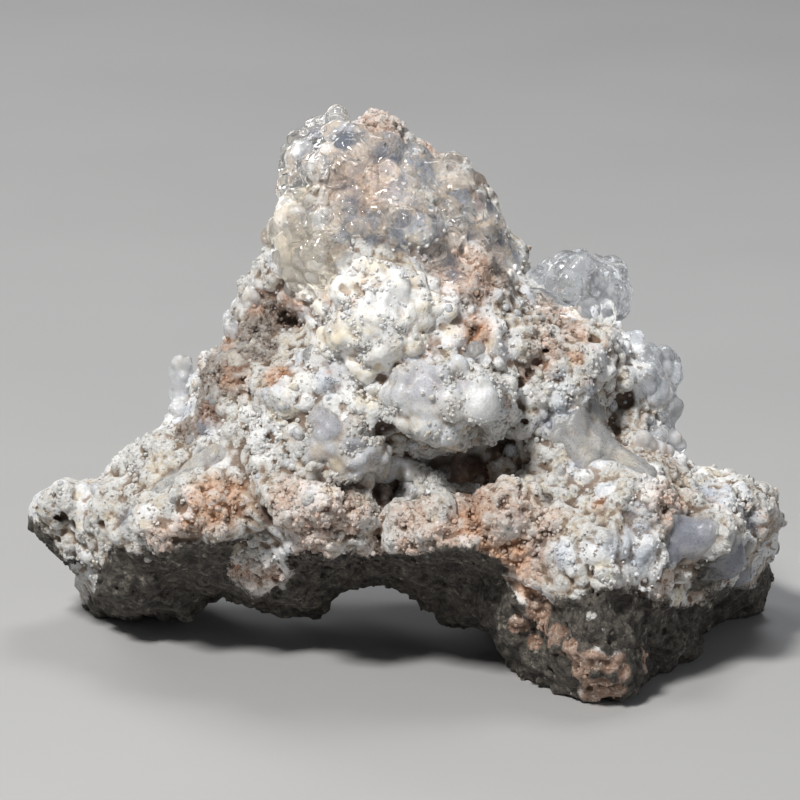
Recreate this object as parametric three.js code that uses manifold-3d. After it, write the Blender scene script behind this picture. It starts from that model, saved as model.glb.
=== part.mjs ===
// Hyalite opal on its host rock: a mountain-shaped hand specimen that stands on its own broken feet.
// Millimetres, +X to the right of the front view, +Y away from the viewer, +Z up, resting on Z = 0,
// with the origin under the middle of the specimen.
//
// The rock is one body: its outline is the one seen from the front, its depth comes from a relief of
// ledges and hollows, and lumps and pits are joined to it. The opal growths are fused globules, each
// growth one solid that lies on the rock with a thin gap.
import * as THREE from "three";
import { ImprovedNoise } from "three/addons/math/ImprovedNoise.js";
import { edgeTable, triTable } from "three/addons/objects/MarchingCubes.js";
import { mergeVertices } from "three/addons/utils/BufferGeometryUtils.js";
import Module from "manifold-3d";

const wasm = await Module();
wasm.setup();

// Driving dimensions. The view width is the width across the front view, in the plane of its middle.
const VIEW_WIDTH = 100;
const VIEW_ELEVATION = THREE.MathUtils.degToRad(15);
const EYE_DISTANCE = 600;
const VIEW_MIDDLE_HEIGHT = 35.2;
const ROCK_CELL = 3.4;
const CELL_PER_RADIUS = 0.85;
const GLOBULE_BLEND = 0.7;
const RIM_ROUNDING = 9;
const RIM_SPREAD = 0.5;
const SEAT_GAP = 0.35;
const ROUGHNESS_MM = 1.5;
const ROUGHNESS_WAVELENGTH = 9;

// The front view
const RIGHT = new THREE.Vector3(1, 0, 0);
const FORWARD = new THREE.Vector3(0, Math.cos(VIEW_ELEVATION), -Math.sin(VIEW_ELEVATION));
const UP = new THREE.Vector3(0, Math.sin(VIEW_ELEVATION), Math.cos(VIEW_ELEVATION));
const VIEW_MIDDLE = new THREE.Vector3(0, 0, VIEW_MIDDLE_HEIGHT);
const EYE = VIEW_MIDDLE.clone().addScaledVector(FORWARD, -EYE_DISTANCE);

// Where a point is seen: across and up from the middle of the front view.
function seenAt(point) {
  const ray = point.clone().sub(EYE);
  const scale = EYE_DISTANCE / ray.dot(FORWARD);
  return [ray.dot(RIGHT) * scale, ray.dot(UP) * scale];
}

// The point seen at (across, up) that lies y millimetres from the middle, away from the viewer.
function pointSeen(across, up, y) {
  const ray = VIEW_MIDDLE.clone().addScaledVector(RIGHT, across).addScaledVector(UP, up).sub(EYE);
  return EYE.clone().addScaledVector(ray, (y - EYE.y) / ray.y);
}

// The rock's outline as seen from the front, clockwise from the left tip: [across, up].
const OUTLINE_WIDTH = 100.5;
const OUTLINE_SCALE = VIEW_WIDTH / OUTLINE_WIDTH;
const OUTLINE = [
  // Left wing and the long left slope
  [-49.5, -15.5], [-49, -13.5], [-47.5, -12], [-45, -11], [-41.5, -10.5], [-40.5, -12], [-39, -10],
  [-36.5, -7], [-34, -5], [-31, -3.5], [-29.5, -1.5], [-28, 2], [-26.5, 5], [-25, 6.5], [-23, 8.5],
  [-21.5, 12], [-20.5, 15], [-19, 17], [-17.5, 19], [-16.5, 22], [-16, 25], [-14.5, 28], [-14, 30.5],
  // Summit and the right flank
  [-12.5, 34], [-10, 35.5], [-6.5, 37], [-3.5, 36.5], [-0.5, 36.5], [2, 34.5], [5, 33], [7.5, 31],
  [9.5, 29], [11.5, 27], [13, 24.5], [15, 21], [16, 18], [17, 13],
  // Shoulder and the right wing
  [19, 12.3], [23, 12], [27, 11], [29.5, 9.3], [31.8, 6.5], [33.4, 3], [34, -1], [34.6, -4], [35.7, -7],
  [38.5, -9.5], [41, -9.5], [44, -10], [46.5, -10.5], [49, -12.5], [51, -14], [50.5, -16],
  [50, -19.5], [48.5, -24.5], [47.5, -28], [44, -29.5], [41.5, -30.5], [39.5, -33], [38.5, -35.5],
  // Front lobe
  [34.5, -37.5], [32, -39.5], [26.5, -40.2], [19.5, -40.2], [18.5, -38.5], [14.5, -37], [14, -34],
  [12.5, -32], [10.5, -30.5], [7.5, -29.5], [5.5, -27],
  // Arch and the left foot
  [0, -25], [-3, -23.5], [-6.5, -24], [-9, -25], [-10.5, -27.5], [-12.5, -28.5], [-15, -28],
  [-19.5, -27], [-26, -26], [-27.5, -27], [-28, -30], [-31.5, -29.5], [-35, -30], [-39, -28.5],
  [-41.5, -28], [-42.5, -25], [-43, -22], [-45.5, -19], [-48, -17],
].map(([across, up]) => [across * OUTLINE_SCALE, up * OUTLINE_SCALE]);

// The relief: [across, up, front, rim, back], where the last three are y. Near the outline the front
// and the back close towards the rim.
const RELIEF = {
  summit: [-8.5, 36.5, 0, 5, 11],
  upperPeak: [-7.5, 31, -4, 5, 14],
  crest: [5.5, 31, -2, 6, 13],
  peakMiddle: [0, 24.5, -7, 5, 17],
  rightFlank: [12, 22, -3, 7, 17],
  leftFlankBulge: [-12.5, 20.5, -8, 4, 17],
  trench: [-15, 10.5, 0, 6, 20],
  leftFlank: [-22, 2.5, -4, 7, 21],
  leftSlope: [-32, -7.5, -4, 8, 22],
  leftTip: [-46.5, -14.5, 1, 9, 17],
  leftCrust: [-38.5, -13, -5, 9, 22],
  leftLedge: [-28, -15, -13, 10, 24],
  leftFoot: [-35, -25, -4, 19, 29],
  whiteMass: [-4, 10.5, -13, 6, 22],
  centreRight: [10.5, 9.5, -12, 6, 22],
  shelf: [5.5, 0, -16, 6, 24],
  leftMiddle: [-13, 0, -11, 6, 24],
  cavity: [12, -9.5, -5, 6, 25],
  cavityLeft: [0, -10.5, -7, 6, 25],
  fringe: [-7.5, -6.5, -15, 6, 25],
  tanLedgeLeft: [-9.5, -16, -20, 6, 24],
  tanLedgeMiddle: [4, -17, -21, 5, 24],
  tanLedgeRight: [14.5, -16, -19, 5, 26],
  underLeft: [-20, -24.5, -7, 9, 20],
  underMiddle: [-12, -26, -8, 7, 19],
  arch: [-3, -23, -11, 4, 17],
  underRight: [5.5, -25.5, -8, 3, 17],
  rightSlope: [22.5, 4, -8, 6, 22],
  rightHole: [28, -2.5, -1, 7, 20],
  greyHollow: [25, -5.5, -11, 6, 24],
  wingTop: [39.5, -10.5, -8, 7, 24],
  rightTip: [49.5, -14, -3, 6, 18],
  wingMiddle: [32, -13, -18, 4, 26],
  wingFront: [26.5, -22.5, -23, -2, 26],
  rightPatch: [41.5, -20, -16, 12, 27],
  rightOuter: [47.5, -23, -4, 15, 25],
  rightRearFoot: [44.5, -28, 3, 19, 29],
  lobe: [26.5, -34, -25, -14, 6],
  lobeRight: [36, -33, -12, 0, 17],
  lobeLeft: [16, -30.5, -17, -6, 14],
  shoulder: [21, 8.5, -6, 6, 18],
  rightShoulder: [32, 0, -1, 7, 19],
  lobeTip: [26.5, -39, -22, -16, -6],
};
const RELIEF_SOFTNESS = 2;

// Lumps joined to the front: [across, up, radius].
const LUMPS = [
  // Round knob below the shoulder, and lumps of the centre
  [15.9, 7.3, 2.1], [-17.2, 0, 2.1], [-10.6, 1.3, 2.1], [-17.2, -6.9, 2.5],
  [23.2, 1.1, 2.5], [21.2, 5, 2], [26.5, 6.4, 2],
  // Left wing
  [-45, -14, 3.2], [-41.1, -13.2, 2.3], [-38.1, -15.9, 2], [-33.1, -15.9, 2.3], [-37.1, -9.9, 1.9],
  [-33.1, -6.6, 1.7], [-25.8, -13.2, 2.6], [-21.9, -16.2, 2.3], [-19.9, -22.5, 2.9],
  // Tan ledge and the dome behind it
  [-14.6, -14.8, 2.3], [-9.3, -13.9, 2.4], [-6.6, -19.2, 2.3], [-1.3, -19.9, 2.3], [5.3, -19.2, 2.3],
  [10.6, -19.9, 2], [13.9, -13.9, 3.2],
  // Right wing
  [27.8, -15.9, 2.6], [31.8, -19.2, 2.4], [26.5, -22.8, 2.6], [33.8, -22.8, 2.1], [38.4, -13.2, 2.1],
  [38.4, -26.5, 2], [45.7, -12.2, 1.9], [48.3, -13.5, 1.7],
  // Front lobe
  [20.5, -25.4, 2.3], [23.2, -29.4, 2.1], [26.5, -33.8, 2.6], [29.1, -37.1, 2.6], [24.5, -38.4, 2.1],
];
const LUMP_BLEND = 1.2;

// Pits sunk into the front: [across, up, radius].
const PITS = [
  [9.9, 9.3, 1.6], [28, -2.5, 2.4], [-2, -3.5, 1.7], [-7.5, -11.5, 2], [6, -9.5, 2.4], [-45, -15.5, 1.5],
  [-26, -19, 2.2], [14, -6.5, 1.8], [38, -23.5, 1.7], [-15.5, 9.5, 2.2],
];

// Bosses and hollows of the unseen back: [across, up, radius, sink], where a boss has a negative sink.
const BACK_FORMS = [
  [-20, -6, 7, -3], [4, 6, 8, -4], [22, -12, 9, -4], [-34, -18, 6, -3], [-4, -14, 6, 3.5],
  [12, 18, 5, -2.5], [-8, 24, 5, 2.5], [34, -4, 6, 2.5], [14, -20, 7, -3], [-16, 12, 5, 2], [40, -20, 5, -3],
];

// Opal growths: globules as [across, up, radius, behind], where behind moves one away from the viewer.
const GROWTHS = {
  // Clear crust over the summit and down the left flank
  peak_hyalite: {
    globules: [
      [-8.9, 36.6, 2, 0], [-10.9, 34.7, 2.6, 0], [-13.2, 33.1, 2.6, 0], [-14.6, 30.7, 2, 0],
      [-7.3, 33.1, 2.6, 0], [-4.6, 33.1, 2, 0], [-9.3, 30.7, 2.9, 0], [-12.5, 28.9, 2.4, 0],
      [-7.3, 35.8, 1.9, 2], [-10.9, 34.4, 2.4, 5], [-13.2, 31.8, 2.1, 5], [-8.6, 35.8, 1.6, 5],
      [-10, 33.2, 2.6, 1], [-11.5, 31.5, 2.7, 1], [-14.3, 27.3, 2.3, 1], [-6, 31.2, 2.2, 0],
      [-14.3, 24.4, 2.4, 0], [-12.8, 21.5, 2.9, 0], [-15.4, 20.9, 2.1, 1], [-10.3, 23.6, 2.4, 0],
      [-11.7, 18, 2.9, 0], [-14.6, 17.5, 2.4, 0], [-8.2, 19.6, 2.6, 0], [-6.4, 16.2, 2.1, 1],
      [-9.3, 15.1, 2.1, 0], [-12.8, 14.8, 1.9, 0], [-7.3, 22.8, 2.1, 0],
    ],
    color: "#dcdad2",
    roughness: 0.1,
  },
  // Globules along the right of the crest
  crest_hyalite: {
    globules: [
      [4.9, 29.4, 2.4, 0], [7.4, 29.4, 2.3, 0], [9.3, 28, 2.3, 0], [8.8, 26, 2.5, 0], [11, 25.4, 2.2, 0],
      [6.7, 24.7, 2.4, 0], [10.1, 22.8, 2.6, 0], [6.4, 22, 2.3, 0], [12.3, 22.4, 2, 0],
      [8, 19.8, 2.3, 0], [9.7, 18, 2.1, 0],
    ],
    color: "#d5d2c8",
    roughness: 0.1,
  },
  // Clear knob on the right shoulder
  shoulder_hyalite: {
    globules: [
      [23.2, 15.9, 3.4, -2], [26.5, 15.2, 3.2, 0], [28.1, 13, 2.1, 1], [19.6, 15.1, 2.9, 0],
      [17.9, 13.2, 2.1, -1], [21.5, 12.7, 2.9, -3], [25.2, 12.2, 2.9, -3], [27.5, 17, 1.7, 3],
      [23.2, 17.5, 2.4, 4], [26.5, 13.2, 2.9, 5], [21.2, 14.6, 2.6, 5],
    ],
    color: "#dfe3e4",
    roughness: 0.06,
  },
  // Grape-like bunch below it, ending in small pearly globules
  grape_hyalite: {
    globules: [
      [30.2, 8.3, 1.5, 0], [33.1, 5, 2.1, -1], [35.4, 5.3, 2, 2], [36.2, 3.4, 1.7, 0],
      [32.8, 2.6, 1.9, -3], [35, 1.6, 1.9, 0], [33.8, -0.5, 1.7, -2], [36.3, -1.1, 1.7, 0],
      [31.8, -0.3, 1.5, 1], [35, -3.2, 1.5, 0], [31.8, 6.4, 1.3, 1], [34.4, 3.3, 1.9, 5],
      [34.5, 1, 2, -3], [34, 2.5, 2.1, 2], [34.3, -0.7, 2, 2], [33.8, -2.8, 1.8, 1], [33, 5.5, 2, 2],
      [33.5, -5.3, 1.6, 0], [32.1, -6.3, 1.6, -1], [34.7, -7.1, 1.5, -1], [36.4, -6.1, 1.5, 1],
    ],
    color: "#cfd3d6",
    roughness: 0.1,
  },
  // Milky shelf that overhangs the dark cavity
  milky_shelf: {
    globules: [
      [1.6, 1.6, 2.6, 0], [0, -0.3, 2.4, 0], [4, -1.1, 2.9, -1], [7.3, -0.3, 2.6, -1],
      [10.2, 0.7, 2.9, -1], [12.6, -0.7, 2.6, -1], [5.3, -4, 2.3, -1], [2.4, -3.4, 2.1, -1],
      [12.2, -3.2, 2, -1], [7.4, -5.3, 1.5, -1], [8.3, 2.6, 2.4, 0], [5, 2.4, 2.1, 0], [13.5, 1.9, 1.6, 0],
    ],
    color: "#d8d8d2",
    roughness: 0.3,
  },
  // Opaque white mass in the middle of the face
  white_opal: {
    globules: [
      [-7.2, 14, 1.9, -1], [-4.5, 14.3, 2.4, 0], [-1.3, 14.3, 2.6, 0], [0.3, 11.7, 2.6, 0],
      [-3.2, 11.1, 3.2, -1], [-6.6, 9.3, 2.6, 0], [-1.9, 7.7, 2.9, -1], [1.1, 8.5, 2.4, 0],
      [-9, 6.9, 2.1, 0], [-5, 4.8, 2.2, 0], [-1.3, 5.2, 1.8, 0], [2.4, 13, 1.6, 0],
    ],
    color: "#f0ebdd",
    roughness: 0.45,
  },
  // Cream globules that hang below it
  fringe_globules: {
    globules: [
      [-11.9, -7.4, 1.8, 0], [-9.9, -6.1, 2, 0], [-7.8, -6.1, 2, 0], [-5.8, -7.3, 2.2, 0],
      [-3.4, -6.6, 2, 0], [-7, -9.4, 1.8, 0], [-3.2, -9.3, 1.9, 0], [-1.2, -8.2, 2, 0],
      [0.8, -9.5, 1.9, 0], [2.6, -10.9, 1.9, 0], [4.5, -11.7, 1.7, 0], [-9.3, -4.2, 1.9, 0],
      [-6.5, -4.2, 1.9, 0],
    ],
    color: "#e2dccd",
    roughness: 0.3,
  },
  // Translucent blades that stand up from the left flank
  lower_blade: {
    globules: [[-29, 4.5, 1.3, 0], [-28.7, 2.5, 1.6, 0], [-28.6, 0.5, 1.6, 0], [-28.9, -1.3, 1.3, 0]],
    color: "#cdd0d4",
    roughness: 0.2,
  },
  upper_blade: {
    globules: [
      [-21.6, 8.7, 1.3, 0], [-22.2, 10.5, 1.3, 0], [-20.7, 12.1, 1.4, 0], [-18.9, 13.5, 1.5, 0],
      [-18.3, 15.6, 1.4, 1],
    ],
    color: "#cdc9c2",
    roughness: 0.18,
  },
};

const clamp = THREE.MathUtils.clamp;
const noise = new ImprovedNoise();

// How far inside the outline a seen place is, negative outside.
function insideOutline(across, up) {
  let nearest = Infinity;
  let inside = false;
  for (let i = 0, j = OUTLINE.length - 1; i < OUTLINE.length; j = i, i += 1) {
    const [ax, ay] = OUTLINE[i];
    const [bx, by] = OUTLINE[j];
    const [runAcross, runUp] = [bx - ax, by - ay];
    const reach = (across - ax) * runAcross + (up - ay) * runUp;
    const along = clamp(reach / (runAcross ** 2 + runUp ** 2), 0, 1);
    nearest = Math.min(nearest, Math.hypot(across - ax - along * runAcross, up - ay - along * runUp));
    if (ay > up !== by > up && across < ax + ((up - ay) * (bx - ax)) / (by - ay)) inside = !inside;
  }
  return inside ? nearest : -nearest;
}

// The relief at a seen place: y of the front, the rim and the back, before they close at the outline.
function reliefAt(across, up) {
  const sums = [0, 0, 0];
  let total = 0;
  for (const [a, u, ...depths] of Object.values(RELIEF)) {
    const weight = 1 / ((across - a) ** 2 + (up - u) ** 2 + RELIEF_SOFTNESS ** 2) ** 3;
    depths.forEach((depth, k) => (sums[k] += depth * weight));
    total += weight;
  }
  return sums.map((sum) => sum / total);
}

// y of the rock's front and back at a seen place, closed towards the rim near the outline.
function frontAndBack(across, up, inside = insideOutline(across, up)) {
  const [front, rim, back] = reliefAt(across, up);
  const rounded = Math.sqrt(1 - (1 - clamp(inside / RIM_ROUNDING, 0, 1)) ** 2);
  return [rim + (front - rim) * rounded, rim + (back - rim) * rounded];
}

// The rock's surface point seen at (across, up), moved a distance behind it.
function onFront(across, up, behind = 0) {
  return pointSeen(across, up, frontAndBack(across, up)[0] + behind);
}

function onBack(across, up, behind = 0) {
  return pointSeen(across, up, frontAndBack(across, up)[1] + behind);
}

const LUMP_SINK = 0.25;
const GROWTH_SINK = 0.05;
const CALM_WIDTH = 3;
const lumpBalls = LUMPS.map(([across, up, radius]) => ({
  centre: onFront(across, up, LUMP_SINK * radius),
  radius,
}));
const pitBalls = PITS.map(([across, up, radius]) => ({ centre: onFront(across, up), radius }));
const backBalls = BACK_FORMS.map(([across, up, radius, sink]) => ({
  centre: onBack(across, up, sink > 0 ? 0.6 * radius : -radius - sink),
  radius,
  hollow: sink > 0,
}));

const LINK_REACH = 0.8;
const LINK_SIZE = 0.85;

// The balls of a growth: its globules, and smaller ones that bridge any gap to the nearest globule.
function growthBalls(globules) {
  const balls = [];
  for (const [across, up, radius, behind] of globules) {
    const centre = onFront(across, up, behind + GROWTH_SINK * radius);
    const distanceTo = (ball) => ball.centre.distanceTo(centre);
    if (balls.length > 0) {
      const nearest = balls.reduce((best, ball) => (distanceTo(ball) < distanceTo(best) ? ball : best));
      const linkRadius = LINK_SIZE * Math.min(radius, nearest.radius);
      const reach = LINK_REACH * (radius + nearest.radius);
      const links = distanceTo(nearest) > reach ? Math.ceil(distanceTo(nearest) / (1.4 * linkRadius)) : 1;
      for (let n = 1; n < links; n += 1) {
        balls.push({ centre: centre.clone().lerp(nearest.centre, n / links), radius: linkRadius });
      }
    }
    balls.push({ centre, radius });
  }
  return balls;
}

const allBalls = Object.values(GROWTHS).flatMap(({ globules }) => growthBalls(globules));

// A smooth union of two fields: lower is further inside.
function blendUnion(a, b, width) {
  const share = Math.max(width - Math.abs(a - b), 0) / width;
  return Math.min(a, b) - (share * share * width) / 4;
}

// Negative inside the rock, positive outside, about in millimetres.
function rockField(x, y, z) {
  const point = new THREE.Vector3(x, y, z);
  const [across, up] = seenAt(point);
  const inside = insideOutline(across, up);
  const [front, back] = frontAndBack(across, up, inside);
  const [i, j, k] = [x, y, z].map((v) => v / ROUGHNESS_WAVELENGTH);
  const rough = noise.noise(i, j, k) + 0.4 * noise.noise(1.7 * i + 5, 1.7 * j, 1.7 * k);
  const gaps = allBalls.map((ball) => ball.centre.distanceTo(point) - ball.radius);
  const nearest = Math.min(CALM_WIDTH, ...gaps);
  const calm = clamp(nearest / CALM_WIDTH, 0, 1);
  let field = Math.max(front - y, y - back, -inside) - RIM_SPREAD + ROUGHNESS_MM * rough * calm;
  for (const { centre, radius } of lumpBalls) {
    field = blendUnion(field, centre.distanceTo(point) - radius, LUMP_BLEND);
  }
  for (const { centre, radius, hollow } of backBalls) {
    const ball = centre.distanceTo(point) - radius;
    field = hollow ? -blendUnion(-field, ball, LUMP_BLEND * 2) : blendUnion(field, ball, LUMP_BLEND * 2);
  }
  for (const { centre, radius } of pitBalls) {
    field = -blendUnion(-field, centre.distanceTo(point) - radius, LUMP_BLEND);
  }
  return field;
}

// Corners and edges of a grid cell, in the order that the marching-cubes tables use.
const CELL_CORNERS = [[0, 0, 0], [1, 0, 0], [1, 1, 0], [0, 1, 0], [0, 0, 1], [1, 0, 1], [1, 1, 1], [0, 1, 1]];
const CELL_EDGES = [
  [0, 1], [1, 2], [3, 2], [0, 3], [4, 5], [5, 6], [7, 6], [4, 7], [0, 4], [1, 5], [2, 6], [3, 7],
];
const CASE_SIZE = 16;
const SLIVER_GUARD = 0.15;

// The closed surface where a field is zero, inside a box of cubic cells turned about the origin.
function isosurface(field, low, high, cell, turn = new THREE.Quaternion()) {
  const counts = [0, 1, 2].map((k) => Math.ceil((high[k] - low[k]) / cell) + 1);
  const place = (corner) => {
    const [x, y, z] = corner.map((c, k) => low[k] + c * cell);
    return new THREE.Vector3(x, y, z).applyQuaternion(turn).toArray();
  };
  const indexOf = ([i, j, k]) => (k * counts[1] + j) * counts[0] + i;
  const values = new Float64Array(counts[0] * counts[1] * counts[2]);
  for (let k = 0; k < counts[2]; k += 1) {
    for (let j = 0; j < counts[1]; j += 1) {
      for (let i = 0; i < counts[0]; i += 1) values[indexOf([i, j, k])] = field(...place([i, j, k]));
    }
  }
  const positions = [];
  const faces = [];
  const made = new Map();
  const vertexOn = (cornerA, cornerB) => {
    const key = `${indexOf(cornerA)}_${indexOf(cornerB)}`;
    if (!made.has(key)) {
      const [a, b] = [values[indexOf(cornerA)], values[indexOf(cornerB)]];
      const share = clamp(a / (a - b), SLIVER_GUARD, 1 - SLIVER_GUARD);
      const [start, end] = [place(cornerA), place(cornerB)];
      positions.push(...start.map((s, k) => s + share * (end[k] - s)));
      made.set(key, positions.length / 3 - 1);
    }
    return made.get(key);
  };
  for (let k = 0; k < counts[2] - 1; k += 1) {
    for (let j = 0; j < counts[1] - 1; j += 1) {
      for (let i = 0; i < counts[0] - 1; i += 1) {
        const corners = CELL_CORNERS.map(([a, b, c]) => [i + a, j + b, k + c]);
        let which = 0;
        corners.forEach((corner, n) => {
          if (values[indexOf(corner)] < 0) which |= 1 << n;
        });
        if (!edgeTable[which]) continue;
        for (let n = which * CASE_SIZE; triTable[n] !== -1; n += 1) {
          const [a, b] = CELL_EDGES[triTable[n]];
          faces.push(vertexOn(corners[a], corners[b]));
        }
      }
    }
  }
  const geometry = new THREE.BufferGeometry();
  geometry.setAttribute("position", new THREE.Float32BufferAttribute(positions, 3));
  geometry.setIndex(faces);
  return geometry;
}

function solidOf(geometry) {
  const bare = geometry.clone();
  bare.deleteAttribute("normal");
  bare.deleteAttribute("uv");
  const merged = mergeVertices(bare, 1e-4);
  const vertProperties = merged.attributes.position.array;
  const triVerts = new Uint32Array(merged.index.array);
  const solid = new wasm.Manifold(new wasm.Mesh({ numProp: 3, vertProperties, triVerts }));
  if (solid.volume() > 0) return solid;
  return new wasm.Manifold(new wasm.Mesh({ numProp: 3, vertProperties, triVerts: triVerts.reverse() }));
}

function geometryOf(solid) {
  const { numProp, vertProperties, triVerts } = solid.getMesh();
  const positions = [];
  for (let i = 0; i < vertProperties.length; i += numProp) positions.push(...vertProperties.slice(i, i + 3));
  const geometry = new THREE.BufferGeometry();
  geometry.setAttribute("position", new THREE.Float32BufferAttribute(positions, 3));
  geometry.setIndex(Array.from(triVerts));
  return geometry;
}

// The largest of the separate bodies in a solid.
function largestBody(solid) {
  return solid.decompose().reduce((best, body) => (body.volume() > best.volume() ? body : best));
}

const MARGIN = 2;

// The balls of a growth flowed into one solid, with a distance added to each radius.
function flowedSolid(balls, extra = 0) {
  const field = (x, y, z) => {
    const point = new THREE.Vector3(x, y, z);
    return balls.reduce((nearest, { centre, radius }) => {
      const away = centre.distanceTo(point) - radius - extra;
      return blendUnion(nearest, away, GLOBULE_BLEND);
    }, MARGIN * VIEW_WIDTH);
  };
  const box = new THREE.Box3();
  let meanRadius = 0;
  for (const { centre, radius } of balls) {
    box.expandByPoint(centre.clone().addScalar(radius + MARGIN));
    box.expandByPoint(centre.clone().subScalar(radius + MARGIN));
    meanRadius += radius / balls.length;
  }
  return solidOf(isosurface(field, box.min.toArray(), box.max.toArray(), CELL_PER_RADIUS * meanRadius));
}

const GRID_TURN = new THREE.Quaternion().setFromEuler(new THREE.Euler(0.45, 0.35, 0.25));
const FIELD_BOX = new THREE.Box3(new THREE.Vector3(-58, -38, -12), new THREE.Vector3(58, 40, 86));
const FLOOR_DEPTH = 20;

// The rock's field, simply outside beyond the box that holds the rock.
function boxedField(x, y, z) {
  const outside = FIELD_BOX.distanceToPoint(new THREE.Vector3(x, y, z));
  return outside > 0 ? outside : rockField(x, y, z);
}

// The rock as one closed body, cut level where its feet meet the ground.
function rockSolid() {
  const turned = new THREE.Matrix4().makeRotationFromQuaternion(GRID_TURN.clone().invert());
  const { min, max } = FIELD_BOX.clone().applyMatrix4(turned);
  const whole = solidOf(isosurface(boxedField, min.toArray(), max.toArray(), ROCK_CELL, GRID_TURN));
  const ground = new THREE.BoxGeometry(2 * VIEW_WIDTH, 2 * VIEW_WIDTH, FLOOR_DEPTH);
  return largestBody(whole.subtract(solidOf(ground.translate(0, 0, -FLOOR_DEPTH / 2))));
}

function mesh(name, solid, color, roughness) {
  const material = new THREE.MeshStandardMaterial({ color, roughness, metalness: 0, flatShading: true });
  const made = new THREE.Mesh(geometryOf(solid), material);
  made.name = name;
  return made;
}

// A solid whose surface lies a small distance outside another's.
function coverOf(solid, distance) {
  const geometry = mergeVertices(geometryOf(solid), 1e-4);
  geometry.computeVertexNormals();
  const { position, normal } = geometry.attributes;
  for (let i = 0; i < position.count; i += 1) {
    const out = new THREE.Vector3().fromBufferAttribute(normal, i);
    const moved = new THREE.Vector3().fromBufferAttribute(position, i).addScaledVector(out, distance);
    position.setXYZ(i, moved.x, moved.y, moved.z);
  }
  return solidOf(geometry);
}

// Each growth lies on the rock, and stops short of the growths placed before it.
const specimen = new THREE.Group();
const host = rockSolid();
let taken = coverOf(host, SEAT_GAP);
for (const [name, { globules, color, roughness }] of Object.entries(GROWTHS)) {
  const balls = growthBalls(globules);
  specimen.add(mesh(name, largestBody(flowedSolid(balls).subtract(taken)), color, roughness));
  taken = taken.add(flowedSolid(balls, SEAT_GAP));
}
specimen.add(mesh("host_rock", host, "#cfc8bc", 0.9));

// The origin goes under the middle of the specimen.
const middle = new THREE.Box3().setFromObject(specimen).getCenter(new THREE.Vector3());
specimen.position.set(-middle.x, -middle.y, 0);

export default specimen;
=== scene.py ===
"""Hyalite opal hand specimen: the visual model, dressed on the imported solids.

Lengths inside this script are millimetres in the frame of the solids; a mesh is made in metres. Places that
were read off the photograph are named, given in its pixels, and carried to the solids by a ray from the
photograph's point of view.
"""
import itertools
import math

import bmesh
import bpy
import numpy as np
import openvdb as vdb
from mathutils import Matrix, Vector
from mathutils.bvhtree import BVHTree


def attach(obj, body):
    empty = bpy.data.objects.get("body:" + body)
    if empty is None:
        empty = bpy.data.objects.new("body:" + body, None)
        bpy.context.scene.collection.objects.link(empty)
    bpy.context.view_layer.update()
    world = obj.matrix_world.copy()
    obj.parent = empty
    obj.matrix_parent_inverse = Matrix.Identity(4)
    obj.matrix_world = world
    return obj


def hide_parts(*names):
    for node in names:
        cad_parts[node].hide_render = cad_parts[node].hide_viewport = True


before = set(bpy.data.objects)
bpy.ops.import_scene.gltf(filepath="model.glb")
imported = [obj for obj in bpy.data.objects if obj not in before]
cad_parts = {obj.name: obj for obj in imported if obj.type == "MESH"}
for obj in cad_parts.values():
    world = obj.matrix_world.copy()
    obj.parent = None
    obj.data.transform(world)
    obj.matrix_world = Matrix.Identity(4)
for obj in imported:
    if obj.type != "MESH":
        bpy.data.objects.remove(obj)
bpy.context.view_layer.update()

MILLIMETRE = 0.001
AXES = range(3)

# The photograph's point of view
PHOTO_PIXELS = 800
VIEW_ELEVATION = math.radians(15)
EYE_DISTANCE = 600.0
PIXEL_SIZE = 100.0 / 755
VIEW_MIDDLE = np.array([-0.2276, -1.7490, 35.2])
SENSOR_WIDTH = 36.0
FORWARD = np.array([0, math.cos(VIEW_ELEVATION), -math.sin(VIEW_ELEVATION)])
UPWARD = np.array([0, math.sin(VIEW_ELEVATION), math.cos(VIEW_ELEVATION)])
SIDEWAYS = np.array([1.0, 0, 0])
EYE = VIEW_MIDDLE - EYE_DISTANCE * FORWARD


def towards(column, row):
    """The direction from the eye through a pixel of the photograph."""
    across = (column - PHOTO_PIXELS / 2) * PIXEL_SIZE
    up = (PHOTO_PIXELS / 2 - row) * PIXEL_SIZE
    aim = VIEW_MIDDLE + across * SIDEWAYS + up * UPWARD - EYE
    return aim / np.linalg.norm(aim)


# Meshes of the solids, as numbers
def numbers_of(items, name, width, kind=np.float32):
    """One property of a mesh's items, as rows of numbers."""
    values = np.empty(len(items) * width, kind)
    items.foreach_get(name, values)
    return values.reshape(-1, width)


def solid_numbers(node):
    """A node's corner points in millimetres and its triangles."""
    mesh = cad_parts[node].data
    mesh.calc_loop_triangles()
    points = numbers_of(mesh.vertices, "co", 3) / MILLIMETRE
    return points, numbers_of(mesh.loop_triangles, "vertices", 3, np.int32)


solids = {name: solid_numbers(name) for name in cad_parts}
surfaces = {}
for name, (points, triangles) in solids.items():
    surfaces[name] = BVHTree.FromPolygons(points.tolist(), triangles.tolist())


def seen_on(name, column, row):
    """Where a pixel of the photograph falls on a solid, and the surface's direction there."""
    aim = towards(column, row)
    hit, normal = surfaces[name].ray_cast(Vector(EYE), Vector(aim))[:2]
    if hit is None:
        rock_hit = surfaces["host_rock"].ray_cast(Vector(EYE), Vector(aim))[0]
        if rock_hit is None:
            rock_hit = Vector(EYE + aim * EYE_DISTANCE)
        hit, normal = surfaces[name].find_nearest(rock_hit)[:2]
    return np.array(hit), np.array(normal)


# Noise that depends on the place alone, from an integer hash of lattice cells
PRIMES = [np.uint32(number) for number in (374761393, 668265263, 2246822519, 3266489917)]
WORD = 2 ** 32
OCTAVE_SHARE = 0.55
LATTICE_TURN = np.array(Matrix.Rotation(0.9, 3, Vector((1, 2, 3)))).astype(np.float32)
CORNERS = [np.array(corner, np.int32) for corner in itertools.product((0, 1), repeat=3)]


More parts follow.
